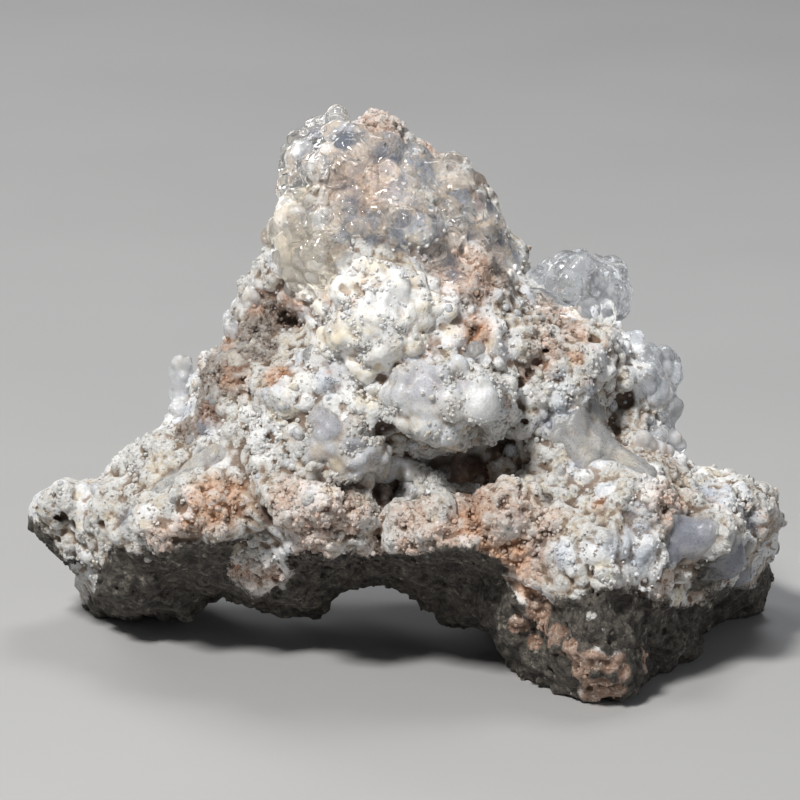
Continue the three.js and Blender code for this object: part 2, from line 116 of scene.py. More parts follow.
def hashed(cells, salt):
    """A number from 0 to 1 for each lattice cell."""
    mixed = np.uint32(salt * int(PRIMES[3]) % WORD)
    for axis in AXES:
        mixed = mixed + cells[..., axis].astype(np.uint32) * PRIMES[axis]
    mixed = (mixed ^ (mixed >> np.uint32(15))) * PRIMES[2]
    mixed = (mixed ^ (mixed >> np.uint32(13))) * PRIMES[3]
    mixed = mixed ^ (mixed >> np.uint32(16))
    return mixed.astype(np.float32) / np.float32(WORD)


def smooth_noise(points, size, salt):
    """Soft noise from 0 to 1, about size across."""
    place = (points @ LATTICE_TURN) / np.float32(size)
    cell = np.floor(place).astype(np.int32)
    share = place - cell
    share = share * share * (3 - 2 * share)
    total = np.zeros(len(points), np.float32)
    for corner in CORNERS:
        weight = np.ones(len(points), np.float32)
        for axis in AXES:
            weight *= share[:, axis] if corner[axis] else 1 - share[:, axis]
        total += weight * hashed(cell + corner, salt)
    return total


def cloud(points, size, salt, octaves=3):
    """Several sizes of soft noise together, from 0 to 1."""
    total = np.zeros(len(points), np.float32)
    share = 0.0
    for octave in range(octaves):
        weight = OCTAVE_SHARE ** octave
        total += weight * smooth_noise(points, size / 2 ** octave, salt + 31 * octave)
        share += weight
    return total / share


def patchy(points, size, salt, start, slope, octaves=2):
    """Patches about size across, from 0 to 1: they start where the noise passes start."""
    return np.clip((cloud(points, size, salt, octaves) - start) * slope, 0, 1)


def ragged(points, reach, size, salt):
    """Points shifted a little, so that what is laid out by them gets a ragged edge."""
    shift = np.stack([cloud(points, size, salt + axis) for axis in AXES], axis=1)
    return points + reach * (shift - 0.5)


def knobs(points, size, salt, middle=0.45):
    """Close-set rounded knobs about size across: 1 on their tops, 0 in their creases, less a middle."""
    place = (points @ LATTICE_TURN) / np.float32(size)
    cell = np.floor(place - 0.5).astype(np.int32)
    nearest = np.full(len(points), 9.0, np.float32)
    for corner in CORNERS:
        here = cell + corner
        away = np.zeros(len(points), np.float32)
        for axis in AXES:
            knob_middle = here[:, axis] + 0.5 + 0.7 * (hashed(here, salt + axis) - 0.5)
            away += (place[:, axis] - knob_middle) ** 2
        away *= 0.8 + 0.7 * hashed(here, salt + 3)
        nearest = np.minimum(nearest, away)
    return np.clip(1 - nearest / 0.5, 0, 1) - middle


# Distance fields
BAND = 2.4
BALL_MARGIN = 1.4


class Field:
    """Distances from a surface on a regular lattice, negative inside."""

    def __init__(self, low, high, step):
        self.step = step
        self.first = np.floor(np.array(low) / step).astype(int)
        self.corner = tuple(int(number) for number in self.first)
        count = np.ceil(np.array(high) / step).astype(int) - self.first + 1
        self.values = np.full(count, BAND, np.float32)
        self.axes = [(self.first[axis] + np.arange(count[axis], dtype=np.float32)) * step for axis in AXES]

    def take_mesh(self, points, triangles):
        """Sets the distances from a closed mesh."""
        grid = vdb.FloatGrid.createLevelSetFromPolygons(
            points.astype(np.float32),
            triangles=triangles.astype(np.uint32),
            transform=vdb.createLinearTransform(voxelSize=self.step),
            halfWidth=BAND / self.step,
        )
        grid.copyToArray(self.values, ijk=self.corner)

    def ball(self, centre, radius, blend, side=1):
        """Joins a ball with a soft fillet or, with side -1, takes it away with a soft edge."""
        reach = radius + BALL_MARGIN
        low = np.floor((centre - reach) / self.step).astype(int) - self.first
        high = np.ceil((centre + reach) / self.step).astype(int) - self.first + 1
        low = np.clip(low, 0, self.values.shape)
        high = np.clip(high, 0, self.values.shape)
        if np.any(high <= low):
            return
        part = tuple(slice(low[axis], high[axis]) for axis in AXES)
        across, deep, up = (self.axes[axis][part[axis]] - np.float32(centre[axis]) for axis in AXES)
        away = np.sqrt(
            (across * across)[:, None, None] + (deep * deep)[None, :, None] + (up * up)[None, None, :]
        )
        self.values[part] = side * soft_lower(side * self.values[part], away - np.float32(radius), blend)

    def near(self, distance):
        """The cells within a distance of the surface, and their places."""
        chosen = np.nonzero(np.abs(self.values) < distance)
        return chosen, np.stack([self.axes[axis][chosen[axis]] for axis in AXES], axis=1)

    def at(self, points):
        """The distances at the cells nearest to some points."""
        cells = np.rint(points / self.step).astype(int) - self.first
        cells = np.clip(cells, 0, np.array(self.values.shape) - 1)
        return self.values[tuple(cells.T)]

    def blur(self, passes):
        """Rounds off what is about a cell across."""
        for axis in list(AXES) * passes:
            before = np.roll(self.values, 1, axis)
            after = np.roll(self.values, -1, axis)
            self.values = 0.25 * before + 0.5 * self.values + 0.25 * after

    def surface(self, fewest=None):
        """The points and four-sided faces of the largest part, or of each with at least so many points."""
        grid = vdb.FloatGrid(BAND)
        grid.copyFromArray(np.clip(self.values, -BAND, BAND), ijk=self.corner)
        grid.transform = vdb.createLinearTransform(voxelSize=self.step)
        grid.gridClass = vdb.GridClass.LEVEL_SET
        points, triangles, faces = grid.convertToPolygons(isovalue=0.0, adaptivity=0.0)
        faces = faces[:, ::-1].astype(np.int32)
        label = part_labels(len(points), faces)
        sizes = np.bincount(label, minlength=len(points))
        kept = sizes[label] >= fewest if fewest else label == sizes.argmax()
        number = np.cumsum(kept) - 1
        return points[kept], number[faces[kept[faces[:, 0]]]]


def soft_lower(first, second, blend):
    """The lower of two numbers, with a rounded step between them."""
    share = np.clip(0.5 + 0.5 * (second - first) / blend, 0, 1)
    return second + (first - second) * share - blend * share * (1 - share)


def edge_ends(faces):
    """The first and the second point of each side of each face."""
    return faces.ravel(), np.roll(faces, -1, axis=1).ravel()


def part_labels(count, faces):
    """The lowest number of a point that each point is connected with."""
    start, end = edge_ends(faces)
    label = np.arange(count)
    while True:
        lower = np.minimum(label[start], label[end])
        updated = label.copy()
        np.minimum.at(updated, start, lower)
        np.minimum.at(updated, end, lower)
        updated = updated[updated]
        if np.array_equal(updated, label):
            return label
        label = updated


def corner_normals(points, faces):
    """The surface's direction at each point."""
    first, second, third, fourth = (points[faces[:, corner]] for corner in range(4))
    across = np.cross(third - first, fourth - second)
    total = np.zeros_like(points)
    for axis in AXES:
        for corner in range(4):
            total[:, axis] += np.bincount(faces[:, corner], across[:, axis], len(points))
    length = np.linalg.norm(total, axis=1, keepdims=True)
    return total / np.maximum(length, 1e-9)


def evened(values, faces, passes):
    """Averages each point's row of values over its neighbours."""
    start, end = edge_ends(faces)
    count = np.bincount(start, minlength=len(values)) + np.bincount(end, minlength=len(values))
    for turn in range(passes):
        updated = np.empty_like(values)
        for column in range(values.shape[1]):
            total = np.bincount(start, values[end, column], len(values))
            total += np.bincount(end, values[start, column], len(values))
            updated[:, column] = total / count
        values = updated
    return values


dice = np.random.default_rng(41)


def scattered(points, faces, count):
    """Places spread evenly over a mesh, the surface's directions there, and the faces that they lie on."""
    first, second, third = (points[faces[:, corner]] for corner in range(3))
    across = np.cross(second - first, third - first)
    area = np.linalg.norm(across, axis=1)
    chosen = dice.choice(len(faces), count, p=area / area.sum())
    share = dice.random((count, 2))
    turned = share.sum(axis=1) > 1
    share[turned] = 1 - share[turned]
    places = first[chosen] + share[:, :1] * (second - first)[chosen] + share[:, 1:] * (third - first)[chosen]
    return places, across[chosen] / area[chosen][:, None], chosen


# What the photograph shows on the rock: for each kind of zone its spots, with column, row and radius
ROCK_ZONES = {
    "orange": [
        ("left ledge", 214, 503, 26), ("left ledge foot", 190, 524, 13), ("left ledge top", 236, 489, 12),
        ("pit in the middle", 475, 332, 15), ("dome's right side", 464, 522, 17),
        ("below the ledge", 508, 558, 22), ("right of it", 530, 590, 13), ("crevice_tint_and_shade", 550, 367, 8),
        ("crevice by the grapes", 574, 357, 9), ("ledge middle", 482, 547, 13), ("rough lump", 500, 474, 13),
        ("nodule", 275, 377, 13), ("lower lobe", 590, 668, 9), ("lower lobe tip", 614, 682, 7),
        ("yellow speck", 602, 505, 7), ("tan lump left", 244, 566, 8), ("tan lump right", 274, 574, 9),
        ("second speck", 666, 482, 6), ("left pocket", 229, 382, 9), ("behind the middle", 540, 620, 14),
        ("boulder stain", 408, 546, 9), ("ledge stain", 354, 524, 8),
    ],
    "brown": [
        ("dome", 490, 512, 20), ("dome top", 470, 500, 12), ("under the crest", 483, 284, 12),
        ("groove top", 545, 325, 5), ("groove", 547, 338, 5), ("groove middle", 545, 352, 6),
        ("groove low", 537, 366, 7), ("groove foot", 526, 377, 7), ("below the amber", 290, 300, 15),
        ("trench foot", 300, 330, 9), ("crust on the left", 236, 372, 14), ("crust foot", 212, 412, 12),
        ("ledge gap", 267, 515, 15), ("by the blade", 203, 362, 9), ("trench top", 268, 296, 10),
        ("trench left", 258, 312, 10), ("lower lobe", 560, 640, 18), ("recess", 618, 606, 18),
        ("cavity", 470, 470, 20), ("recess by the ledge", 372, 492, 22), ("trench", 287, 317, 12),
    ],
    "pink": [
        ("dome", 490, 510, 32), ("tan lump left", 236, 558, 14), ("tan lump right", 270, 566, 16),
        ("ledge", 320, 522, 34), ("ledge middle", 375, 545, 34), ("ledge left", 288, 495, 20),
        ("ledge top", 352, 505, 22), ("ledge right", 405, 558, 24), ("tan lump", 250, 566, 22),
        ("peak middle", 362, 182, 32), ("crest top", 378, 128, 24), ("crest right", 430, 152, 15),
        ("crest foot", 465, 272, 30), ("right foot", 536, 630, 10), ("ledge low", 315, 550, 20),
        ("ledge low right", 350, 556, 18), ("under the knob", 548, 318, 16),
        ("under the knob right", 575, 335, 14), ("tan lump low", 262, 582, 13),
        ("boulder foot", 412, 545, 16), ("boulder left", 390, 520, 10), ("tan lumps", 658, 588, 15),
        ("tan lumps right", 692, 596, 12), ("right face", 530, 560, 24), ("left ledge end", 165, 540, 20),
        ("orange lump", 505, 462, 16), ("flank", 246, 384, 12), ("under the shoulder", 545, 345, 16),
        ("specks", 665, 505, 26), ("boulder", 414, 514, 24), ("boulder right", 440, 540, 18),
        ("dome right", 520, 508, 22), ("dome end", 545, 524, 16),
    ],
    "white": [
        ("slope", 136, 450, 26), ("slope top", 165, 425, 18), ("left of the middle", 247, 420, 26),
        ("below it", 268, 450, 24), ("ledge powder", 392, 520, 9), ("crust", 508, 527, 14),
        ("ledge", 420, 530, 10), ("right tip", 728, 503, 13), ("right tip end", 742, 498, 9),
        ("right tip top", 720, 479, 10), ("lumps", 566, 557, 14), ("low lump", 607, 581, 10),
        ("right edge", 765, 505, 12), ("middle right", 560, 400, 18), ("under the shoulder", 590, 360, 18),
        ("centre left", 310, 385, 20), ("centre", 345, 400, 18), ("left slope", 215, 440, 14),
        ("right slope", 640, 500, 20), ("pale globule", 593, 617, 8), ("small globule", 602, 628, 6),
        ("crest", 402, 128, 10),
    ],
    "pale": [
        ("centre top", 370, 300, 62), ("centre right", 450, 350, 62), ("right", 560, 400, 56),
        ("far right", 640, 480, 52), ("centre left", 300, 400, 56), ("left", 240, 440, 44),
        ("slope", 150, 455, 46), ("right wing", 705, 505, 40), ("left wing", 80, 510, 40),
        ("left ledge", 130, 520, 36), ("fringe", 340, 445, 44), ("shelf", 470, 420, 44),
        ("right face", 565, 480, 44), ("right foot", 600, 550, 44), ("shoulder foot", 600, 350, 34),
        ("right ledge", 655, 560, 34), ("far right foot", 735, 540, 30), ("upper left", 250, 310, 24),
        ("low right", 560, 560, 30), ("ledge", 340, 530, 44), ("ledge right", 420, 530, 40),
    ],
    "film": [
        ("band foot", 160, 486, 11), ("band", 173, 478, 13), ("band middle", 186, 470, 14),
        ("band top", 199, 462, 14), ("band end", 212, 454, 12), ("right film left", 560, 433, 11),
        ("right film", 581, 422, 15), ("right film middle", 602, 424, 16),
        ("right film low", 586, 447, 18), ("right film right", 612, 452, 20),
        ("right film end", 636, 466, 13), ("patch by the pit", 477, 353, 9), ("blue patch", 693, 535, 24),
        ("blue patch foot", 680, 551, 13), ("second blue patch", 731, 560, 20),
        ("its foot", 740, 575, 12), ("nodule", 316, 355, 13), ("blue patch left", 672, 545, 14),
        ("second patch left", 716, 572, 15), ("second patch top", 727, 543, 13),
        ("second patch right", 746, 554, 12),
    ],
    "blue": [
        ("blue patch", 690, 535, 24), ("blue patch foot", 674, 553, 14), ("second blue patch", 731, 560, 22),
        ("its foot", 742, 577, 13), ("bluish lumps", 566, 557, 14), ("by the tip", 715, 500, 12),
        ("below the shoulder", 560, 405, 14), ("slope", 205, 425, 14), ("centre", 330, 380, 14),
        ("left of the film", 545, 425, 12), ("tip end", 40, 500, 12), ("left blade foot", 188, 415, 10),
        ("under the ledge top", 540, 555, 10), ("right face", 640, 560, 14), ("right wing", 705, 492, 16),
        ("right middle", 642, 520, 16), ("right face low", 612, 545, 14), ("right side", 750, 520, 12),
        ("above the film", 590, 390, 14), ("right face top", 575, 470, 10), ("left ledge", 128, 520, 12),
    ],
    "crust": [
        ("second blue patch", 731, 560, 24), ("between the patches", 700, 570, 14),
        ("tan lump", 252, 562, 22), ("edge of the left foot", 82, 572, 10), ("pale globule", 593, 617, 8),
        ("small globule", 602, 628, 6), ("tan lump low", 262, 578, 14),
    ],
    "tawny": [
        ("first ledge", 540, 606, 12), ("its middle", 548, 624, 11), ("its foot", 560, 640, 13),
        ("second ledge", 576, 652, 11), ("its middle", 594, 656, 11), ("its end", 612, 658, 10),
        ("third ledge", 582, 668, 11), ("its middle", 600, 676, 13), ("its right", 618, 670, 11),
        ("its end", 640, 664, 11), ("fourth ledge", 590, 688, 11), ("its end", 612, 686, 11),
        ("crumbs", 520, 622, 9), ("more crumbs", 536, 640, 8),
    ],
    "umber": [
        ("glassy crust", 238, 350, 24), ("crust middle", 222, 374, 24), ("crust foot", 206, 402, 20),
        ("crust right", 268, 352, 14), ("left slope", 186, 432, 12), ("crust top left", 240, 322, 12),
        ("crust top", 262, 322, 14), ("crust low", 200, 424, 10), ("under the knob", 545, 306, 14),
        ("under the knob right", 566, 322, 12), ("peak foot", 440, 262, 18),
        ("peak foot right", 490, 268, 24), ("peak foot low", 470, 290, 16), ("hollow", 284, 316, 16),
        ("beside the hollow", 262, 300, 12), ("rimmed lump", 530, 355, 12), ("crevice_tint_and_shade", 556, 350, 12),
    ],
    "waxy": [
        ("white mass", 372, 300, 40), ("centre", 345, 325, 22), ("centre right", 372, 342, 18),
        ("right of the opal", 430, 318, 22), ("grey centre", 330, 382, 14), ("centre low", 350, 400, 14),
        ("blue slope", 205, 432, 14), ("glassy crust", 230, 358, 24), ("crust foot", 205, 398, 16),
        ("grey face", 565, 398, 20), ("face top", 556, 376, 12), ("cream lumps", 586, 478, 18),
        ("next lumps", 610, 492, 16), ("bluish lump", 566, 557, 18), ("cream oval", 598, 555, 18),
        ("right face", 640, 545, 22), ("face low", 628, 566, 14), ("tip lumps", 722, 486, 14),
        ("tip", 735, 515, 12), ("left tip", 88, 500, 18), ("left tip low", 80, 522, 12),
        ("ledge", 368, 520, 10), ("ledge left", 268, 425, 18), ("above the ledge", 262, 452, 12),
        ("left wing", 130, 475, 12), ("low lump", 607, 581, 12), ("beside the shelf", 520, 395, 12),
        ("recess", 618, 606, 20), ("recess left", 600, 612, 12), ("tip top", 742, 496, 12),
    ],
    "amber": [
        ("left lobes", 300, 255, 34), ("left edge", 280, 240, 22), ("foot", 325, 275, 18),
        ("left side", 300, 205, 18),
    ],
    # Dark patches under the clear glass, painted as dark reflections
    "dark_reflection": [
        ("dark patch", 345, 143, 13), ("second dark patch", 380, 153, 12), ("beside it", 395, 162, 8),
        ("dark crest globule", 462, 178, 12), ("rods", 482, 208, 11), ("sparkling patch", 449, 262, 11),
        ("its foot", 452, 278, 8), ("upper left", 315, 140, 10), ("crest", 428, 168, 9),
        ("middle", 350, 200, 7), ("left foot", 282, 262, 9), ("left lobes", 308, 268, 7),
        ("right edge", 497, 240, 9), ("behind the drop", 400, 225, 10), ("foot", 372, 236, 8),
    ],
    # Pits, holes, recesses and the cavity, painted near-black as shade
    "dark": [
        ("tip pit", 61, 515, 7), ("hole in the middle", 385, 428, 11),
        ("hole by the grapes", 623, 400, 12), ("recess", 372, 488, 16), ("recess left", 345, 485, 12),
        ("recess right", 400, 492, 14), ("cavity", 440, 468, 18), ("cavity right", 472, 455, 16),
        ("cavity end", 500, 440, 11), ("cavity foot", 420, 500, 9), ("trench", 287, 317, 10),
        ("ledge gap", 267, 515, 12), ("pit", 475, 331, 5), ("below the lump", 315, 478, 8),
        ("between lumps", 545, 500, 8), ("recess right end", 422, 496, 10),
        ("recess left end", 352, 478, 11),
    ],
}

# The lower edge of the crust, from left to right: columns and rows in pixels
CRUST_EDGE = [
    (20, 514), (44, 530), (58, 543), (64, 562), (72, 590), (80, 606), (92, 598), (100, 568), (108, 552),
    (135, 548), (160, 556), (172, 548), (186, 536), (205, 541), (222, 550), (229, 584), (255, 592),
    (284, 588), (298, 562), (320, 563), (345, 572), (365, 568), (380, 554), (400, 557), (425, 557),
    (450, 546), (480, 551), (500, 558), (508, 578), (520, 604), (545, 606), (562, 600), (580, 592),
    (600, 589), (620, 590), (638, 587), (650, 598), (668, 600), (680, 604), (700, 603), (720, 600),
    (742, 592), (762, 574), (776, 558), (790, 530),
]

# Lumps of the rock that show one by one: column, row and radius in pixels
ROCK_LUMPS = [
    ("tip lobe", 84, 492, 11), ("tip lobe low", 96, 517, 12), ("grey globule", 70, 540, 10),
    ("tip end", 46, 505, 12), ("tip top", 62, 490, 10), ("nodule", 275, 377, 15),
    ("left of centre", 258, 440, 14), ("centre left", 247, 415, 13), ("grey nodule", 316, 355, 17),
    ("rimmed lump", 520, 343, 24), ("rough lump", 505, 474, 20), ("dome", 490, 512, 30),
    ("ledge lump", 220, 528, 17), ("tan lump", 250, 562, 20), ("bluish lump", 566, 557, 14),
    ("cream oval", 597, 555, 15), ("white lump", 607, 581, 10), ("tan lump right", 657, 588, 14),
    ("tan lump far right", 692, 596, 11), ("tip lump", 728, 503, 11), ("tip lump end", 742, 498, 8),
    ("tip lump top", 720, 479, 8), ("tip edge", 762, 508, 12), ("pale globule", 593, 617, 9),
    ("small globule", 602, 628, 7), ("low ledge", 560, 640, 22), ("lower ledge", 612, 672, 20),
    ("translucent lump", 585, 480, 13), ("next lump", 606, 492, 13), ("third lump", 622, 505, 11),
    ("ledge middle", 330, 545, 18), ("ledge right", 395, 535, 18), ("ledge left", 296, 545, 14),
    ("slope lump", 120, 455, 11), ("slope lump top", 150, 436, 12), ("ledge gap", 374, 518, 18),
    ("ledge gap foot", 364, 540, 17), ("ledge gap right", 392, 545, 16), ("tan lump left", 234, 552, 14),
    ("tan lump middle", 268, 558, 15), ("tan lump foot", 244, 576, 12), ("tan lump end", 274, 574, 11),
    ("tan lump low", 262, 584, 9), ("tan lump right end", 288, 564, 9), ("right ledge", 680, 575, 14),
    ("blue patch", 731, 562, 18), ("under the peak", 290, 300, 14), ("left pocket", 262, 320, 14),
    ("right slope", 655, 500, 14), ("right slope end", 690, 500, 13), ("middle right", 545, 395, 15),
    ("above the film", 575, 385, 14), ("flank knob", 204, 362, 12), ("flank knob low", 199, 384, 10),
    ("flank knob top", 218, 345, 10), ("right of the shelf", 525, 420, 14),
    ("below the shelf", 540, 455, 13),
]

# The thin glassy skin round the summit: column, row and radius in pixels
PEAK_SKIN = [
    ("crest top", 352, 140, 22), ("crest", 385, 150, 26), ("crest right", 420, 165, 24),
    ("right side", 450, 195, 26), ("right side low", 478, 225, 24), ("right edge", 495, 255, 16),
    ("middle", 350, 180, 26), ("middle right", 390, 185, 26), ("middle low", 365, 215, 24),
    ("right of the middle", 415, 215, 26), ("foot", 400, 240, 16), ("foot right", 440, 250, 22),
    ("left middle", 346, 214, 15), ("nub", 336, 128, 8), ("right edge middle", 498, 250, 14),
    ("above the dome", 455, 280, 14),
]

# Where else the rock lies under clear glass, calmer and greyer than elsewhere, with painted dark reflections
# and glints
UNDER_GLASS = [
    ("upper left", 312, 158, 18), ("left shoulder", 292, 162, 13), ("left edge", 287, 200, 14),
    ("top left", 336, 158, 16), ("under the nub", 308, 140, 12), ("nub", 325, 135, 18),
    ("left low", 296, 226, 24), ("left side", 303, 184, 19), ("middle foot", 342, 228, 20),
    ("left foot", 300, 256, 22), ("right foot", 335, 256, 16),
    ("right edge", 510, 250, 20), ("right edge foot", 506, 280, 16), ("right edge top", 496, 222, 14),
]

# Thin grey films on the rock, a growth of their own
GREY_FILMS = [
    ("band foot", 160, 486, 10), ("band", 172, 479, 12), ("band middle", 185, 471, 13),
    ("band top", 198, 463, 13), ("band end", 210, 455, 12), ("right film left", 560, 436, 13),
    ("right film", 582, 422, 17), ("right film top", 597, 410, 14), ("right film low", 584, 450, 18),
    ("right film middle", 606, 440, 20), ("right film right", 630, 460, 16),
    ("right film end", 648, 468, 10), ("patch by the pit", 476, 351, 10), ("blue patch", 692, 534, 25),
    ("blue patch foot", 673, 552, 16), ("blue patch top", 706, 517, 13),
    ("second blue patch", 730, 560, 24), ("its foot", 741, 578, 14), ("its left", 716, 574, 14),
    ("its top", 728, 543, 12), ("its right", 747, 552, 12), ("grey nodule", 316, 355, 16),
    ("lavender lump", 324, 420, 18), ("left crust", 228, 360, 16), ("left crust foot", 215, 395, 14),
    ("left crust top", 250, 342, 12), ("left edge", 205, 425, 10), ("blue slope", 190, 440, 8),
    ("low film", 560, 470, 10),
]

rock_points, rock_triangles = solids["host_rock"]

# How a zone's weight falls off: its exponent, and how many radii away it is looked for
ZONE_FALL = 1.6
ZONE_REACH = 2.2
# How far the crust's edge wanders and how soft it is, in pixels
EDGE_WANDER = 26
EDGE_SOFTNESS = 24


def placed(spots, name):
    """Named spots of the photograph as places on a solid, with radii in millimetres."""
    return [(*seen_on(name, column, row), radius * PIXEL_SIZE) for label, column, row, radius in spots]


zones = {kind: placed(spots, "host_rock") for kind, spots in ROCK_ZONES.items()}
edge_columns, edge_rows = np.array(CRUST_EDGE, np.float32).T


def below_crust(places):
    """How far each place lies below the crust's edge in the photograph's view, in pixels."""
    away = places - EYE.astype(np.float32)
    depth = away @ FORWARD.astype(np.float32)
    scale = EYE_DISTANCE / (depth * PIXEL_SIZE)
    column = PHOTO_PIXELS / 2 + away[:, 0] * scale
    row = PHOTO_PIXELS / 2 - (away @ UPWARD.astype(np.float32)) * scale
    return row - np.interp(column, edge_columns, edge_rows)


def bareness(places):
    """How much each place belongs to the broken underside below the crust's edge, which the rock's colour
    paints as dark shade, from 0 to 1.
    """
    lower = below_crust(places) + EDGE_WANDER * (cloud(places, 3.0, 161) - 0.5)
    covered = np.maximum(zone_weight("crust", places), zone_weight("tawny", places, 1.1))
    return np.clip(0.5 + lower / EDGE_SOFTNESS, 0, 1) * (1 - covered)


def zone_weight(kind, places, spread=1.0):
    """How much each place belongs to a kind of zone, from 0 to 1."""
    total = np.zeros(len(places), np.float32)
    for centre, normal, radius in zones[kind]:
        reach = radius * spread
        close = np.nonzero(np.abs(places[:, 0] - centre[0]) < ZONE_REACH * reach)[0]
        away = ((places[close] - centre.astype(np.float32)) ** 2).sum(axis=1)
        total[close] = np.maximum(total[close], np.exp(-((away / reach ** 2) ** ZONE_FALL)))
    return total


def in_zones(places, *kinds):
    """How much each place belongs to any of some kinds of zones, from 0 to 1."""
    return np.max([zone_weight(kind, places) for kind in kinds], axis=0)


# Colours on the growths: the kind, the growth, then column, row and radius in pixels
GROWTH_MARKS = [
    ("pearl", "grape_hyalite", 641, 437, 12), ("pearl", "grape_hyalite", 660, 448, 11),
    ("pearl", "grape_hyalite", 678, 438, 8), ("pearl", "grape_hyalite", 681, 459, 8),
    ("pearl", "peak_hyalite", 384, 217, 9), ("pearl", "peak_hyalite", 298, 213, 8),
    ("chalky", "fringe_globules", 372, 466, 13), ("chalky", "fringe_globules", 396, 461, 12),
    ("chalky", "fringe_globules", 419, 480, 13), ("chalky", "fringe_globules", 437, 485, 11),
    ("chalky", "fringe_globules", 300, 455, 12), ("chalky", "milky_shelf", 485, 404, 26),
    ("chalky", "milky_shelf", 447, 402, 9), ("chalky", "white_opal", 384, 300, 26),
    ("chalky", "white_opal", 356, 272, 13), ("chalky", "white_opal", 392, 328, 15),
    ("chalky", "white_opal", 350, 322, 10),
    ("creamy", "fringe_globules", 302, 423, 12), ("creamy", "fringe_globules", 367, 415, 12),
    ("creamy", "fringe_globules", 318, 451, 9), ("creamy", "fringe_globules", 338, 462, 10),
    ("creamy", "milky_shelf", 410, 445, 14), ("creamy", "milky_shelf", 452, 446, 14),
    ("creamy", "white_opal", 414, 272, 11), ("creamy", "white_opal", 340, 322, 12),
    ("greyish", "fringe_globules", 325, 422, 18), ("greyish", "milky_shelf", 425, 384, 24),
    ("greyish", "milky_shelf", 462, 384, 10), ("greyish", "fringe_globules", 350, 445, 8),
]
for kind, node, column, row, radius in GROWTH_MARKS:
    zones.setdefault(kind, []).append((*seen_on(node, column, row), radius * PIXEL_SIZE))

peak_places = placed(PEAK_SKIN + UNDER_GLASS, "host_rock")


def on_peak(places, spread=1.0):
    """How much each place belongs to the glassy peak, from 0 to 1."""
    total = np.zeros(len(places), np.float32)
    for centre, normal, radius in peak_places:
        away = ((places - centre.astype(np.float32)) ** 2).sum(axis=1)
        total = np.maximum(total, np.exp(-((away / (radius * spread) ** 2) ** ZONE_FALL)))
    return total


# How many lumps, knobs and pits are spread over the rock
LUMP_COUNT = 420
KNOB_COUNT = 5200
PIT_COUNT = 260

# How deep their middles lie under the surface, in radii; those of named pits lie above it
LUMP_DEPTH = 0.45
SPREAD_LUMP_DEPTH = 0.62
KNOB_DEPTH = 0.35
SPREAD_PIT_DEPTH = 0.1
PIT_RISE = 0.1

# How wide the soft edge round each is
LUMP_FILLET = 0.5
SMOOTH_LUMP_FILLET = 0.8
KNOB_FILLET = 0.25
PIT_FILLET = 0.3

# Growths that the crust rises to meet: how deep it lies under their surface, and its fillet
CRUST_BEDS = (("white_opal", 0.7, 3.2), ("milky_shelf", 1.3, 1.6), ("fringe_globules", 0.9, 1.6))


def add_beds(field):
    """Raises the rock under the opaque growths, so that they come out of the crust."""
    low = [axis[0] for axis in field.axes]
    high = [axis[-1] for axis in field.axes]
    for node, depth, fillet in CRUST_BEDS:
        bed = Field(low, high, field.step)
        bed.take_mesh(*solids[node])
        part = tuple(slice(0, count) for count in field.values.shape)
        field.values = soft_lower(field.values, bed.values[part] + np.float32(depth), np.float32(fillet))


def evenness(places):
    """How smooth and waxy each place of the rock is, from 0 to 1."""
    patches = np.minimum(patchy(places, 7.0, 61, 0.50, 9), 0.9)
    patches = np.maximum(patches, zone_weight("waxy", places))
    crumbled = in_zones(places, "pink", "orange", "tawny", "umber")
    return patches * (1 - 0.8 * crumbled) * (1 - zone_weight("crust", places))


rock_balls = []
for hit, normal, size in placed(ROCK_LUMPS, "host_rock"):
    rock_balls.append((hit - normal * size * LUMP_DEPTH, size))
places, normals = scattered(rock_points, rock_triangles, LUMP_COUNT)[:2]
sizes = dice.uniform(1.1, 2.6, LUMP_COUNT)
film_here = zone_weight("film", places)
for place, normal, size, film in zip(places, normals, sizes, film_here):
    if film < 0.3:
        rock_balls.append((place - normal * size * SPREAD_LUMP_DEPTH, size))

rough = Field(rock_points.min(axis=0) - 4, rock_points.max(axis=0) + 4, 0.8)
rough.take_mesh(rock_points, rock_triangles)
for centre, radius in rock_balls:
    rough.ball(centre, radius, LUMP_FILLET)
add_beds(rough)
rough_points, rough_faces = rough.surface()
places, normals = scattered(rough_points, rough_faces, KNOB_COUNT)[:2]
sizes = dice.uniform(0.55, 1.25, KNOB_COUNT)
places = places.astype(np.float32)
film_here = np.maximum(zone_weight("film", places), on_peak(places))
film_here = np.maximum(film_here, (evenness(places) > 0.45) * (dice.random(KNOB_COUNT) < 0.8))
coarse_here = cloud(places, 14.0, 5)
knob_balls = []
for place, normal, size, film, coarse in zip(places, normals, sizes, film_here, coarse_here):
    if film < 0.25:
        size = size * (0.75 + 0.6 * coarse)
        knob_balls.append((place - normal * size * KNOB_DEPTH, size))

